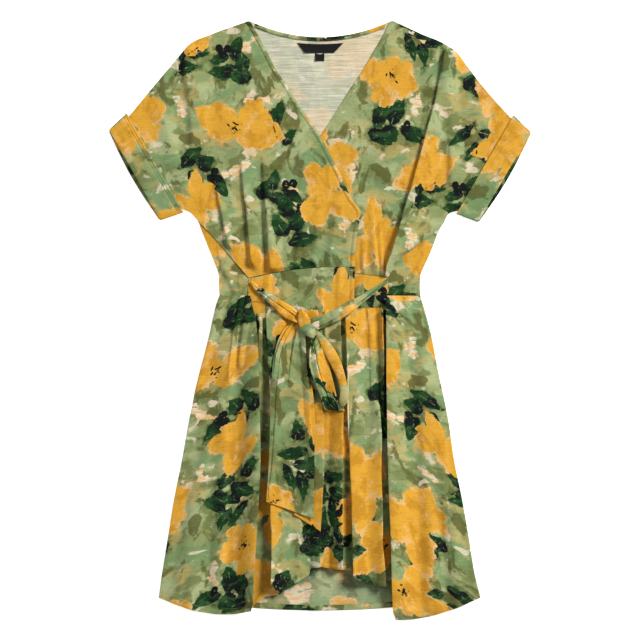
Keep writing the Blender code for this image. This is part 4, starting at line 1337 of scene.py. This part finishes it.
class DressOperator:
    """What the operators of all pieces share"""

    bl_options = {"REGISTER", "UNDO"}

    @property
    def sizes(self):
        return bpy.context.scene.dress_sizes

    @property
    def colours(self):
        return bpy.context.scene.dress_colours

    @property
    def right_side_out(self):
        return [print_cloth(self.colours), print_cloth(self.colours, paleness=0.66)]

    @property
    def wrong_side_out(self):
        return self.right_side_out[::-1]

    # The back skirt's wrong side is faded far less than the bodice's, so it shows darker: partly its greener
    # print, partly painted shade for the skirt's shaded inside.
    @property
    def skirt_wrong_side_out_with_painted_shade(self):
        return [print_cloth(self.colours, paleness=0.12), print_cloth(self.colours)]

    @property
    def doubled(self):
        return [print_cloth(self.colours)] * 2

    def piece(self, name, points, pattern, sides, rests_on, **shape):
        """One piece of the dress's cloth, in place of the solid of that name."""
        sewn(name + "_cloth", points, pattern, sides, self.sizes.cloth, name, rests_on, **shape)

    def ripple(self, x, y):
        """Small wrinkles, from 0 to twice the sizes' crumple."""
        return in_millimetres(self.sizes.crumple) * (1 + crumple(x, y, 1.0))

    def laid(self, name, sections, columns, rows, floor, creases, pattern, rests_on, edges=(), calm=1.0,
             laps=None, held=None, hem=None):
        """One panel, laid on its floor, creased but held flat along its seams, its edges turned, and sewn."""
        x, y = lattice(sections, columns, rows)
        if hem:
            foot = np.interp(x[-1], [c.x for c in hem], [c.y for c in hem])
            y = y + (foot - y[-1]) * smooth(np.linspace(1 - HEM_REACH, 1, rows))[:, None]
        z = floor(x, y) + SETTLE + calm * self.ripple(x, y)
        flat = points_at(x, y, z)
        points = points_at(*creased(x, y, z, creases))
        for side, width in (held or {}).items():
            points = mix(flat, points, smooth(edge_distance(flat, side) / width)[:, :, None])
        points = lapped(points, laps or {})
        points = finish_edges(points, edges, in_millimetres(self.sizes.seam))
        self.piece(name, points, pattern, self.right_side_out, rests_on)


def in_neckline(x, y):
    """1 where the back shows inside the neckline, fading to 0 under the fronts and under the binding."""
    return smooth((70 - np.abs(x)) / 60) * smooth((y - 700) / 60) * smooth((930 - y) / 40)


class DRESS_OT_back_bodice(DressOperator, bpy.types.Operator):
    """Back bodice, inside up, and its two sides turned to the front"""

    bl_idname = "dress.back_bodice"
    bl_label = "Back Bodice"

    def execute(self, context):
        x, y = lattice(BACK_BODICE, 180, 120)
        z = back_floor(x, y) + BACK_LEVEL + (1 + crumple(x, y, 2.0)) * (0.16 + 0.8 * in_neckline(x, y))
        self.piece("back_bodice", points_at(x, y, z), Print(40, 130, 0.0), self.wrong_side_out,
                   ["front_right_bodice_cloth", "back_skirt_cloth"])
        for name, sections, pattern, inner in (
            ("back_bodice_right_turn", RIGHT_TURN, Print(310, 60, 0.1), "right"),
            ("back_bodice_left_turn", LEFT_TURN, Print(120, 330, -0.1), "left"),
        ):
            self.laid(name, sections, 42, 60, front_floor, SIDE_CREASES, pattern, ["back_bodice_cloth"],
                      calm=0.8, laps={"foot": 5.0, inner: 9.0})
        return {"FINISHED"}


def outline_rows(rows):
    """The back skirt's outline table at evenly spaced rows."""
    table = [(o.left, o.y, o.right, o.y, o.left_inner, o.right_inner) for o in BACK_SKIRT]
    left, y, right, _, left_inner, right_inner = through(table, rows).T
    return y, left_inner, left, right, right_inner


def hem_drop(y):
    """0 above the hem's reach, 1 at the outline's foot, as a column."""
    return smooth((HEM_DROP_START - y) / (HEM_DROP_START - BACK_SKIRT[-1].y))[:, None]


def inner_fold(x, y):
    """A soft fold of the back that shows inside below the raised fronts."""
    fold = INNER_FOLD
    away = (x - fold.x) / np.where(x < fold.x, fold.left, fold.right)
    return fold.rise * bump(away) * smooth((fold.top - y) / fold.fade)


class DRESS_OT_back_skirt(DressOperator, bpy.types.Operator):
    """Back skirt, folded at its outline so that its sides lie on the front, and its turned-up hem"""

    bl_idname = "dress.back_skirt"
    bl_label = "Back Skirt"

    def side(self, y, fold_line, inner_line, inward, floor, creases, drop, peak):
        """One turned side, from its fold to its inner edge."""
        share = np.linspace(0, 1, 84)[None, :]
        x = mix(fold_line[:, None] + inward * FOLD_INSET, inner_line[:, None], share)
        y = y[:, None] - hem_drop(y) * drop * np.sin(np.pi * share / (2 * peak))
        z = floor(x, y) + SETTLE + self.ripple(x, y) * smooth(share * 8)
        return points_at(*creased(x, y, z, creases))

    def back(self, y, left, right):
        """The back itself, inside up, from fold to fold."""
        share = np.linspace(0, 1, 86)[None, :]
        x = mix(left[:, None] + FOLD_INSET, right[:, None] - FOLD_INSET, share)
        y = y[:, None] - hem_drop(y) * BACK_HEM_SAG * np.sin(np.pi * share)
        calm = smooth((x - left[:, None]) / 30) * smooth((right[:, None] - x) / 30)
        z = BACK_LEVEL + 0.3 * calm * (1 + crumple(x, y, 6.0)) + inner_fold(x, y)
        return points_at(x, y, z)

    def bend(self, top, foot, outward):
        """The half round between a turned side and the back, from the side down to the back."""
        middle = (top + foot) / 2
        radius = (top[:, 2] - foot[:, 2]) / 2
        turns = np.linspace(0, np.pi, 6)[1:-1]
        columns = []
        for turn in turns:
            x = middle[:, 0] + outward * radius * math.sin(turn)
            z = middle[:, 2] + radius * math.cos(turn)
            columns.append(np.stack([x, middle[:, 1], z], axis=1))
        return np.stack(columns, axis=1)

    def execute(self, context):
        y, left_inner, left, right, right_inner = outline_rows(180)
        right_side = self.side(y, left, left_inner, 1, right_turn_floor, RIGHT_TURN_CREASES, 26.0, 0.7)
        left_side = self.side(y, right, right_inner, -1, left_turn_floor, LEFT_TURN_CREASES, 34.0, 0.92)
        back = self.back(y, left, right)
        right_bend = self.bend(right_side[:, 0], back[:, 0], -1)
        left_bend = self.bend(left_side[:, 0], back[:, -1], 1)
        points = [right_side[:, ::-1], right_bend, back, left_bend[:, ::-1], left_side]
        points = np.concatenate(points, axis=1)
        points = finish_edges(points, ["foot"], in_millimetres(self.sizes.seam) + HEM_SEAM_EXTRA, 0.25, 0.3)
        points[:, :, 2] = np.maximum(points[:, :, 2], BACK_LEVEL)
        # The back skirt's darker wrong side is partly painted shade for its shaded inside.
        self.piece("back_skirt", points, Print(60, 480, 0.0), self.skirt_wrong_side_out_with_painted_shade,
                   ["back_bodice_cloth"])
        self.hem()
        return {"FINISHED"}

    def hem(self):
        """The turned-up hem inside the back, as far as it shows."""
        x = np.linspace(*HEM_SHOWN, 150)[None, :]
        last = BACK_SKIRT[-1]
        foot = last.y - BACK_HEM_SAG * np.sin(np.pi * (x - last.left) / (last.right - last.left))
        up = np.linspace(HEM_TURNING, 0.5, 8)[:, None]
        y = foot + up
        puff = 0.2 * np.sin(np.pi * up / HEM_TURNING) + 0.12 * cloud(x, y, 12, 8)
        z = LAYER + BACK_LEVEL + puff + inner_fold(x, y)
        self.piece("back_hem", points_at(x, y, z), Print(330, 250, 0.0), self.right_side_out,
                   ["back_skirt_cloth"])


class DRESS_OT_neck(DressOperator, bpy.types.Operator):
    """Binding of the back neckline, with a bare woven label and size tab"""

    bl_idname = "dress.neck"
    bl_label = "Neck Binding and Label"

    def execute(self, context):
        top = BACK_BODICE[0]
        share = np.linspace(0.045, 0.955, 120)[None, :]
        down = np.linspace(BINDING_EDGE, NECK_BINDING, 9)[:, None]
        x = mix(top.left_x, top.right_x, share)
        y = mix(top.left_y, top.right_y, share) + bowed(top.bow, share) - down
        crown = np.sin(np.pi * (down - BINDING_EDGE) / (NECK_BINDING - BINDING_EDGE))
        z = LAYER + 0.4 + 0.5 * crown
        sewn("back_neck_binding", points_at(x, y, z), Print(250, 300, 0.0), self.right_side_out,
             self.sizes.cloth, "back_neck_band", ["back_bodice_cloth"])
        for tape in TAPES:
            self.sew_tape(tape)
        return {"FINISHED"}

    def sew_tape(self, tape):
        """A strip of woven tape, sewn down along its top and curling up a little at its foot."""
        share = np.linspace(0, 1, tape.columns)[None, :]
        fall = np.linspace(0, 1, 12)[:, None]
        left = mix(tape.top_left, tape.foot_left, fall)
        right = mix(tape.top_right, tape.foot_right, fall)
        x = mix(left, right, share)
        y = mix(tape.top, tape.foot, fall) - bowed(2, share) * (1 - fall)
        z = LAYER + 0.75 + 0.9 * fall**2 * (1 + 0.4 * np.cos(share * 5))
        sewn(tape.name, points_at(x, y, z), Print(0, 0, 0.0), [label_cloth(self.colours)], TAPE_THICKNESS,
             tape.node, ["back_bodice_cloth"], slot="label_cloth")


class DRESS_OT_front_bodice(DressOperator, bpy.types.Operator):
    """The two front bodices, right over left, each with its half of a sleeve"""

    bl_idname = "dress.front_bodice"
    bl_label = "Front Bodice"

    def execute(self, context):
        self.laid("front_left_bodice", FRONT_LEFT_BODICE, 170, 170, left_front_floor, LEFT_BODICE_CREASES,
                  Print(150, 300, 0.06), ["back_bodice_cloth"], edges=["left"],
                  held={"right": 4.0, "foot": 4.0})
        self.laid("front_right_bodice", FRONT_RIGHT_BODICE, 170, 170, right_front_floor, RIGHT_BODICE_CREASES,
                  Print(455, 90, -0.05), ["front_left_bodice_cloth"], edges=["right"],
                  held={"left": 10.0, "foot": 7.0})
        return {"FINISHED"}


class DRESS_OT_waistband(DressOperator, bpy.types.Operator):
    """The front waistband, right over left"""

    bl_idname = "dress.waistband"
    bl_label = "Waistband"

    def execute(self, context):
        self.laid("front_left_waistband", LEFT_BAND, 100, 44, front_floor, [], Print(60, 200, 0.0),
                  ["back_bodice_cloth"], calm=0.6, laps={"right": 7.0, "foot": 4.0})
        self.laid("front_right_waistband", RIGHT_BAND, 110, 50, right_front_floor, RIGHT_BAND_CREASES,
                  Print(255, 250, 0.0), ["front_left_waistband_cloth"], edges=["right"], calm=0.8,
                  laps={"left": 6.0, "foot": 4.0})
        return {"FINISHED"}


class DRESS_OT_front_skirt(DressOperator, bpy.types.Operator):
    """The two front skirts, right over left, gathered at the band, with raised rounded hems"""

    bl_idname = "dress.front_skirt"
    bl_label = "Front Skirt"

    def gathered(self, floor):
        """A floor with small gathers that fade out below the waist seam."""

        def lifted(x, y):
            below = np.clip((WAIST - y) / 60, 0, None)
            spread = x + 3 * cloud(x, y, 20, 9)
            folds = 0.5 + 0.5 * np.sin(spread * 0.78 + 1.4 * cloud(x, y * 0, 23, 5))
            return floor(x, y) + in_millimetres(self.sizes.gather) * folds * np.exp(-below)

        return lifted

    def execute(self, context):
        self.laid("front_left_skirt", FRONT_LEFT_SKIRT, 130, 150, self.gathered(front_floor),
                  LEFT_SKIRT_CREASES, Print(300, 410, 0.0), ["back_skirt_cloth"], edges=["foot"],
                  held={"top": 5.0}, hem=LEFT_FRONT_HEM)
        self.laid("front_right_skirt", FRONT_RIGHT_SKIRT, 136, 150, self.gathered(right_front_floor),
                  RIGHT_SKIRT_CREASES, Print(95, 150, 0.0), ["front_left_skirt_cloth"], edges=["foot"],
                  laps={"right": 1.0}, held={"top": 5.0}, hem=RIGHT_FRONT_HEM)
        return {"FINISHED"}


def cuff_rise(travel, share):
    """A soft uneven crown along a cuff, with a small ridge across it near the underarm."""
    ridge = bump((travel - 0.955 - 0.02 * math.sin(4 * share)) / 0.03)
    return 0.7 * math.sin(math.pi * travel) + 0.3 * math.sin(9 * travel + 5 * share) + 0.9 * float(ridge)


class DRESS_OT_cuffs(DressOperator, bpy.types.Operator):
    """Turned-back cuffs, each a flattened ring round the sleeve's two layers"""

    bl_idname = "dress.cuffs"
    bl_label = "Cuffs"

    def execute(self, context):
        self.cuff("cuff_right", CUFF_RIGHT, Print(156, 56, 1.2), self.right_side_out,
                  "front_right_bodice_cloth")
        self.cuff("cuff_left", CUFF_LEFT, Print(182, 28, -0.5), self.wrong_side_out,
                  "front_left_bodice_cloth")
        return {"FINISHED"}

    def cuff(self, name, corners, pattern, sides, sleeve):
        top_inner, foot_inner, top_outer, foot_outer = (Vector(c) for c in corners)
        thick = in_millimetres(self.sizes.cloth)
        half = (CUFF_HEIGHT + CUFF_EASE) / 2
        rings = []
        for share, depth in zip(*rounded(CUFF_PROFILE, CUFF_WIDTH, CUFF_ROWS)):
            first = top_inner.lerp(top_outer, float(share))
            last = foot_inner.lerp(foot_outer, float(share))
            outward = square_to((last - first).normalized(), top_outer - top_inner)
            radius = half - thick / 2 - max(float(depth), -CUFF_PUFF)
            rings.append(self.ring(first, last, outward * float(share), half, radius, float(share)))
        points = np.array(rings)
        points[:, :, 2] = np.maximum(points[:, :, 2], thick / 2 + 0.02)
        self.piece(name, points, pattern, sides, [sleeve], ring=True, straight=True)

    def ring(self, first, last, outward, half, radius, share):
        """Once round the cuff: upper layer, bend at its foot, lower layer, bend at its top."""
        span = last - first
        along = span.normalized()
        start = first + along * half
        end = last - along * half
        travels = [column / (CUFF_STEPS - 1) for column in range(CUFF_STEPS)]
        angles = [math.pi * step / BEND_STEPS for step in range(1, BEND_STEPS)]
        points = []
        for travel in travels:
            place = start + along * (travel * (span.length - 2 * half))
            points.append((place.x, place.y, half + radius + cuff_rise(travel, share)))
        for angle in angles:
            place = end + along * (radius * math.sin(angle))
            points.append((place.x, place.y, half + radius * math.cos(angle)))
        for travel in reversed(travels):
            place = start + along * (travel * (span.length - 2 * half))
            place += outward * (LOWER_EDGE_OUT + LOWER_EDGE_BOW * math.sin(math.pi * travel))
            points.append((place.x, place.y, half - radius))
        for angle in angles:
            place = start - along * (radius * math.sin(angle))
            points.append((place.x, place.y, half - radius * math.cos(angle)))
        return points


class Below:
    """Search trees of the pieces laid so far, for what is draped on them."""

    def __init__(self, names):
        graph = bpy.context.evaluated_depsgraph_get()
        self.trees = [BVHTree.FromObject(bpy.data.objects[name], graph) for name in names]

    def top(self, x, y, reach):
        """The highest cloth within reach of a place."""
        best = 0.0
        spots = [(0.0, 0.0)] + [(r * reach, a * math.pi / 4) for r in (0.5, 1.0) for a in range(8)]
        for away, angle in spots:
            place = to_world(np.array([x + away * math.cos(angle), y + away * math.sin(angle), 0.0]))
            start = Vector((place[0], place[1], ABOVE_ALL))
            for tree in self.trees:
                hit = tree.ray_cast(start, Vector((0, 0, -1)))[0]
                if hit:
                    best = max(best, hit.z / MM)
        return best

    def tops(self, x, y, reach):
        """The highest cloth within reach of each place of a lattice."""
        return np.array([[self.top(*place, reach) for place in zip(*row)] for row in zip(x, y)])

    def under(self, x, y, reach, softness):
        """Heights that a band rests on, bridging narrow hollows and evened out along it."""
        raw = self.tops(x, y, reach)
        level = raw.copy()
        for _ in range(softness):
            padded = np.pad(level, 1, mode="edge")
            beside = padded[:-2, 1:-1] + padded[2:, 1:-1] + padded[1:-1, :-2] + padded[1:-1, 2:]
            level = np.maximum((beside + 2 * level) / 6, raw)
        return level


def resampled(values, rows, columns):
    """A coarse grid of heights at every point of a finer one."""
    row_places = np.linspace(0, values.shape[0] - 1, rows)
    column_places = np.linspace(0, values.shape[1] - 1, columns)
    wide = np.array([np.interp(column_places, np.arange(values.shape[1]), row) for row in values])
    return np.array([np.interp(row_places, np.arange(values.shape[0]), column) for column in wide.T]).T


def strand(sections, rows, below, folds):
    """A strand of the sash: its rolled cross-section carried along its sections, and creased."""
    share, rise = rounded(ROLLED, STRAND_WIDTH, STRAND_COLUMNS)
    left_x, left_y, right_x, right_y, _ = (v[:, None] for v in through(sections, rows).T)
    x = mix(left_x, right_x, share[None, :])
    y = mix(left_y, right_y, share[None, :])
    coarse_share = np.linspace(0, 1, 6)[None, :]
    skip = np.linspace(0, rows - 1, max(rows // 3, 4)).astype(int)
    coarse_x = mix(left_x[skip], right_x[skip], coarse_share)
    coarse_y = mix(left_y[skip], right_y[skip], coarse_share)
    level = resampled(below.under(coarse_x, coarse_y, 4.0, 2), rows, 6)
    base = np.array([np.interp(np.clip(share, 0, 1), coarse_share[0], row) for row in level])
    height = rise[None, :] * np.clip(np.hypot(right_x - left_x, right_y - left_y) / 12, 0.5, 1.0)
    z = base + STRAND_CLEARANCE + height
    plain = points_at(x, y, z)
    folded = points_at(*creased(x, y, z, folds, fade=6.0))
    return mix(plain, folded, smooth((height - 1.6) / 1.4)[:, :, None])


class DRESS_OT_sash(DressOperator, bpy.types.Operator):
    """The sash: two strands, the knot, the loop of the bow and two tails"""

    bl_idname = "dress.sash"
    bl_label = "Sash"

    def execute(self, context):
        band = "front_right_waistband_cloth"
        skirt = "front_right_skirt_cloth"
        fronts = [skirt, "front_left_skirt_cloth", band, "front_left_waistband_cloth",
                  "front_right_bodice_cloth", "front_left_bodice_cloth", "back_skirt_cloth",
                  "back_bodice_right_turn_cloth", "back_bodice_left_turn_cloth"]
        short, long = "tie_left_tail_cloth", "tie_right_tail_cloth"
        right, left = "tie_right_strand_cloth", "tie_left_strand_cloth"
        self.tail("tie_left_tail", SHORT_TAIL, [], 30, 130, Below(fronts), Print(430, 30, 1.57))
        self.tail("tie_right_tail", LONG_TAIL, LONG_TAIL_CREASES, 50, 150, Below([short, skirt, band]),
                  Print(240, 330, 0.0))
        points = strand(RIGHT_STRAND, 90, Below(fronts + [long, short]), RIGHT_STRAND_FOLDS)
        self.piece("tie_right_strand", points, Print(20, 170, 0.4), self.right_side_out, [band],
                   straight=True)
        points = strand(LEFT_STRAND, 140, Below(fronts + [long, right]), LEFT_STRAND_FOLDS)
        self.piece("tie_left_strand", points, Print(170, 250, 2.2), self.right_side_out, [band],
                   straight=True)
        self.loop(Below(fronts + [long, short, left]))
        self.knot(Below(fronts + [long, left, right, "tie_loop_cloth"]))
        return {"FINISHED"}

    def tail(self, name, sections, creases, columns, rows, below, pattern):
        """A tail of the sash: a flat doubled strip with slightly raised edges, laid on what is below it."""
        x, y = lattice(sections, columns, rows)
        skip = np.ix_(*(np.linspace(0, count - 1, count // 3).astype(int) for count in (rows, columns)))
        level = resampled(below.under(x[skip], y[skip], 8.0, 10), rows, columns)
        curl = 1.6 * (1 - bump((np.linspace(-1, 1, columns) ** 3)[None, :]))
        z = level + 0.6 + curl + 0.4 * (1 + crumple(x, y, 4.0))
        points = points_at(*creased(x, y, z, creases))
        points = finish_edges(points, ["foot"], 4.0, 0.3, 0.2)
        self.piece(name, points, pattern, self.doubled, ["front_right_skirt_cloth"], straight=True)

    def loop(self, below):
        """The loop: down from the knot in a roll, turned over at its end, and back up flat beside it."""
        rows, columns = 150, 60
        left_x, left_y, right_x, right_y, lift, crown, roll = (v[:, None] for v in through(LOOP, rows).T)
        share = np.linspace(0, 1, columns)[None, :]
        turn = np.pi * (1.9 * share - 0.75)
        tight = 1 - 0.3 * smooth((share - 0.8) / 0.2)
        across = mix(share, 0.5 + 0.5 * tight * np.cos(turn), roll)
        x, y = mix(left_x, right_x, across), mix(left_y, right_y, across)
        level = resampled(below.tops(x[::4, ::6], y[::4, ::6], 6.0), rows, columns)
        level = mix(level, level.max(axis=1, keepdims=True), roll)
        pleat = 0.9 * smooth((0.4 - share) / 0.05) - 1.9 * np.exp(-(((share - 0.42) / 0.03) ** 2))
        flat = crown * np.sin(np.pi * share) ** 0.8 + pleat * crown / 3.4
        rolled = crown * (0.5 + 0.5 * tight * np.sin(turn))
        z = level + lift + mix(flat, rolled, roll)
        self.piece("tie_loop", points_at(x, y, z), Print(180, 280, 2.45), self.doubled,
                   ["front_right_skirt_cloth"], straight=True)

    def knot(self, below):
        """The knot: short bands wrapped over one another, drawn tight at their ends."""
        base = below.top(*KNOT_MIDDLE, 10)
        rows, columns = 40, 30
        share = np.linspace(0, 1, columns)[None, :]
        roll = np.sin(np.pi * share) ** 0.55
        tuck = 0.5 - 0.5 * np.cos(np.pi * share)
        crease = 0.5 * np.sin(share * 13) * bump((share - 0.5) * 1.9)
        points, faces, across, up = [], [], [], []
        for number, wrap in enumerate((KNOT_UPRIGHT, KNOT_ACROSS)):
            left_x, left_y, right_x, right_y, lift = (v[:, None] for v in through(wrap, rows).T)
            z = base + lift + 5.0 * (roll - 1) + crease
            layer = points_at(mix(left_x, right_x, tuck), mix(left_y, right_y, tuck), z)
            layer_across, layer_up = cloth_places(layer, straight=True)
            points.append(layer)
            faces.append(grid_faces(rows, columns) + number * rows * columns)
            across.append(layer_across)
            up.append(layer_up - 60 * number)  # each wrap shows its own place of the print
        joined = [np.concatenate(parts) for parts in (points, faces, across, up)]
        piece = printed("tie_knot_cloth", *joined, Print(206, 352, 0.0), self.right_side_out,
                        self.sizes.cloth * 1.4)
        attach(piece, BODY)
        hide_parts("tie_knot")


class DRESS_OT_stitching(DressOperator, bpy.types.Operator):
    """Topstitching along the turned edges"""

    bl_idname = "dress.stitching"
    bl_label = "Stitching"

    def line(self, name, side, inset):
        """Points on a piece's upper face, a set distance in from one of its edges."""
        points = seen_from(built[name], side)
        run = step_lengths(points, 1)
        found = []
        for row, lengths in zip(points, run):
            if lengths[-1] > inset:
                found.append([np.interp(inset, lengths, row[:, axis]) for axis in range(3)])
        return np.array(found)

    def execute(self, context):
        seam = in_millimetres(self.sizes.seam)
        lines = [
            self.line("front_right_bodice_cloth", "right", seam),
            self.line("front_right_bodice_cloth", "right", seam - ROW_GAP),
            self.line("front_left_bodice_cloth", "left", seam),
            self.line("front_left_bodice_cloth", "left", seam - ROW_GAP),
            self.line("front_right_skirt_cloth", "foot", seam),
            self.line("front_left_skirt_cloth", "foot", seam),
            self.line("back_skirt_cloth", "foot", seam + HEM_SEAM_EXTRA),
            self.line("back_neck_binding", "foot", NARROW_SEAM),
        ]
        self.sew("topstitching", lines, OLIVE_THREAD)
        # The hem's stitches are near black: real thread that also paints the shadow line along the hem.
        self.sew("hem_stitching", [self.line("back_hem_cloth", "top", NARROW_SEAM)], DARK_THREAD_AND_SHADOW)
        return {"FINISHED"}

    def stitch(self, start, end):
        """Corners of one stitch: rings of four round its thread, thin where it goes through the cloth."""
        radius = in_millimetres(self.sizes.thread) / 2
        surface = in_millimetres(self.sizes.cloth) / 2
        along = Vector(end - start).normalized()
        up = Vector((0, 0, 1)) if abs(along.z) < 0.9 else Vector((1, 0, 0))
        beside = along.cross(up).normalized()
        up = beside.cross(along)
        corners = []
        for place, size, lift in STITCH_RINGS:
            middle = Vector(mix(start, end, place)) + up * (surface + radius * lift)
            for turn in range(4):
                angle = turn * math.pi / 2 + math.pi / 4
                spot = middle + (beside * math.cos(angle) + up * math.sin(angle)) * radius * size
                corners.append(tuple(spot))
        return corners

    def stitch_faces(self, first):
        """Faces of one stitch whose corners start at a number."""
        last = first + 4 * (len(STITCH_RINGS) - 1)
        faces = [(first + 3, first + 2, first + 1, first), (last, last + 1, last + 2, last + 3)]
        for ring in range(first, last, 4):
            for turn in range(4):
                a, b = ring + turn, ring + (turn + 1) % 4
                faces.append((a, b, b + 4, a + 4))
        return faces

    def sew(self, name, lines, colour):
        """All stitches along some lines, as one piece."""
        length = in_millimetres(self.sizes.stitch)
        points, faces = [], []
        for line in lines:
            steps = np.linalg.norm(np.diff(line, axis=0), axis=1)
            run = np.concatenate([[0], np.cumsum(steps)])
            for start in np.arange(1.0, run[-1] - length, length * 1.3):
                ends = [[np.interp(place, run, axis) for axis in line.T] for place in (start, start + length)]
                if math.dist(*ends) < length / 2:
                    continue
                faces += self.stitch_faces(len(points))
                points += self.stitch(*np.array(ends))
        mesh = bpy.data.meshes.new(name)
        mesh.from_pydata(to_world(np.array(points)).tolist(), [], faces)
        mesh.materials.append(thread_finish(name + "_thread", colour))
        mesh.shade_smooth()
        piece = bpy.data.objects.new(name, mesh)
        bpy.context.scene.collection.objects.link(piece)
        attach(piece, BODY)


class DRESS_OT_stage(DressOperator, bpy.types.Operator):
    """The pale surface, soft studio light and a camera straight above"""

    bl_idname = "dress.stage"
    bl_label = "Surface, Light and Camera"

    def execute(self, context):
        bpy.ops.object.select_all(action="DESELECT")
        bpy.ops.mesh.primitive_plane_add(size=60.0, location=(0, 0, -0.0002))
        surface = context.object
        surface.name = "surface"
        material, _, shader = new_material("pale_surface")
        shader.inputs["Base Color"].default_value = tuple(self.colours.floor)
        shader.inputs["Roughness"].default_value = 0.9
        shader.inputs["Emission Color"].default_value = (1, 1, 1, 1)
        shader.inputs["Emission Strength"].default_value = 0.7
        surface.data.materials.append(material)
        self.light("upper_right", (5.0, 4.0, 5.0), size=2.2, power=790, colour=(1.0, 0.99, 0.97))
        self.light("upper_left", (-5.4, 3.6, 4.8), size=2.6, power=90, colour=(0.98, 0.99, 1.0))
        self.room(context.scene)
        self.camera(context.scene)
        return {"FINISHED"}

    def room(self, scene):
        """Even white light from all around."""
        scene.world = scene.world or bpy.data.worlds.new("room")
        scene.world.use_nodes = True
        background = scene.world.node_tree.nodes["Background"]
        background.inputs["Color"].default_value = (1, 1, 1, 1)
        background.inputs["Strength"].default_value = 0.25

    def camera(self, scene):
        """A camera straight above the middle of the dress."""
        lens = bpy.data.cameras.new("camera")
        lens.sensor_width = SENSOR
        lens.lens = SENSOR * CAMERA_HEIGHT / FIELD
        lens.clip_end = 5 * CAMERA_HEIGHT
        camera = bpy.data.objects.new("camera", lens)
        camera.location = (0, 0, CAMERA_HEIGHT)
        scene.collection.objects.link(camera)
        scene.camera = camera
        scene.view_settings.view_transform = "Standard"

    def light(self, name, place, size, power, colour):
        lamp = bpy.data.lights.new(name, "AREA")
        lamp.shape = "SQUARE"
        lamp.size = size
        lamp.energy = power
        lamp.color = colour
        thing = bpy.data.objects.new(name, lamp)
        thing.location = place
        thing.rotation_euler = (-Vector(place)).to_track_quat("-Z", "Y").to_euler()
        bpy.context.scene.collection.objects.link(thing)


class DRESS_PT_pieces(bpy.types.Panel):
    """Lists the dress's pieces, sizes and colours"""

    bl_idname = "DRESS_PT_pieces"
    bl_label = "Wrap Dress"
    bl_space_type = "VIEW_3D"
    bl_region_type = "UI"
    bl_category = "Dress"

    def draw(self, context):
        column = self.layout.column(align=True)
        for step in STEPS:
            column.operator(step.bl_idname)
        for group in (context.scene.dress_sizes, context.scene.dress_colours):
            box = self.layout.box()
            for name in group.__annotations__:
                box.prop(group, name)


STEPS = (
    DRESS_OT_back_bodice,
    DRESS_OT_back_skirt,
    DRESS_OT_neck,
    DRESS_OT_front_bodice,
    DRESS_OT_waistband,
    DRESS_OT_front_skirt,
    DRESS_OT_cuffs,
    DRESS_OT_sash,
    DRESS_OT_stitching,
    DRESS_OT_stage,
)
CLASSES = (DressSizes, DressColours, *STEPS, DRESS_PT_pieces)


def register():
    for kind in CLASSES:
        bpy.utils.register_class(kind)
    bpy.types.Scene.dress_sizes = PointerProperty(type=DressSizes)
    bpy.types.Scene.dress_colours = PointerProperty(type=DressColours)


def unregister():
    del bpy.types.Scene.dress_colours
    del bpy.types.Scene.dress_sizes
    for kind in reversed(CLASSES):
        bpy.utils.unregister_class(kind)


def main():
    register()
    bpy.ops.dress.back_bodice()
    bpy.ops.dress.back_skirt()
    bpy.ops.dress.neck()
    bpy.ops.dress.front_bodice()
    bpy.ops.dress.waistband()
    bpy.ops.dress.front_skirt()
    bpy.ops.dress.cuffs()
    bpy.ops.dress.sash()
    bpy.ops.dress.stitching()
    bpy.ops.dress.stage()


if __name__ == "__main__":
    main()
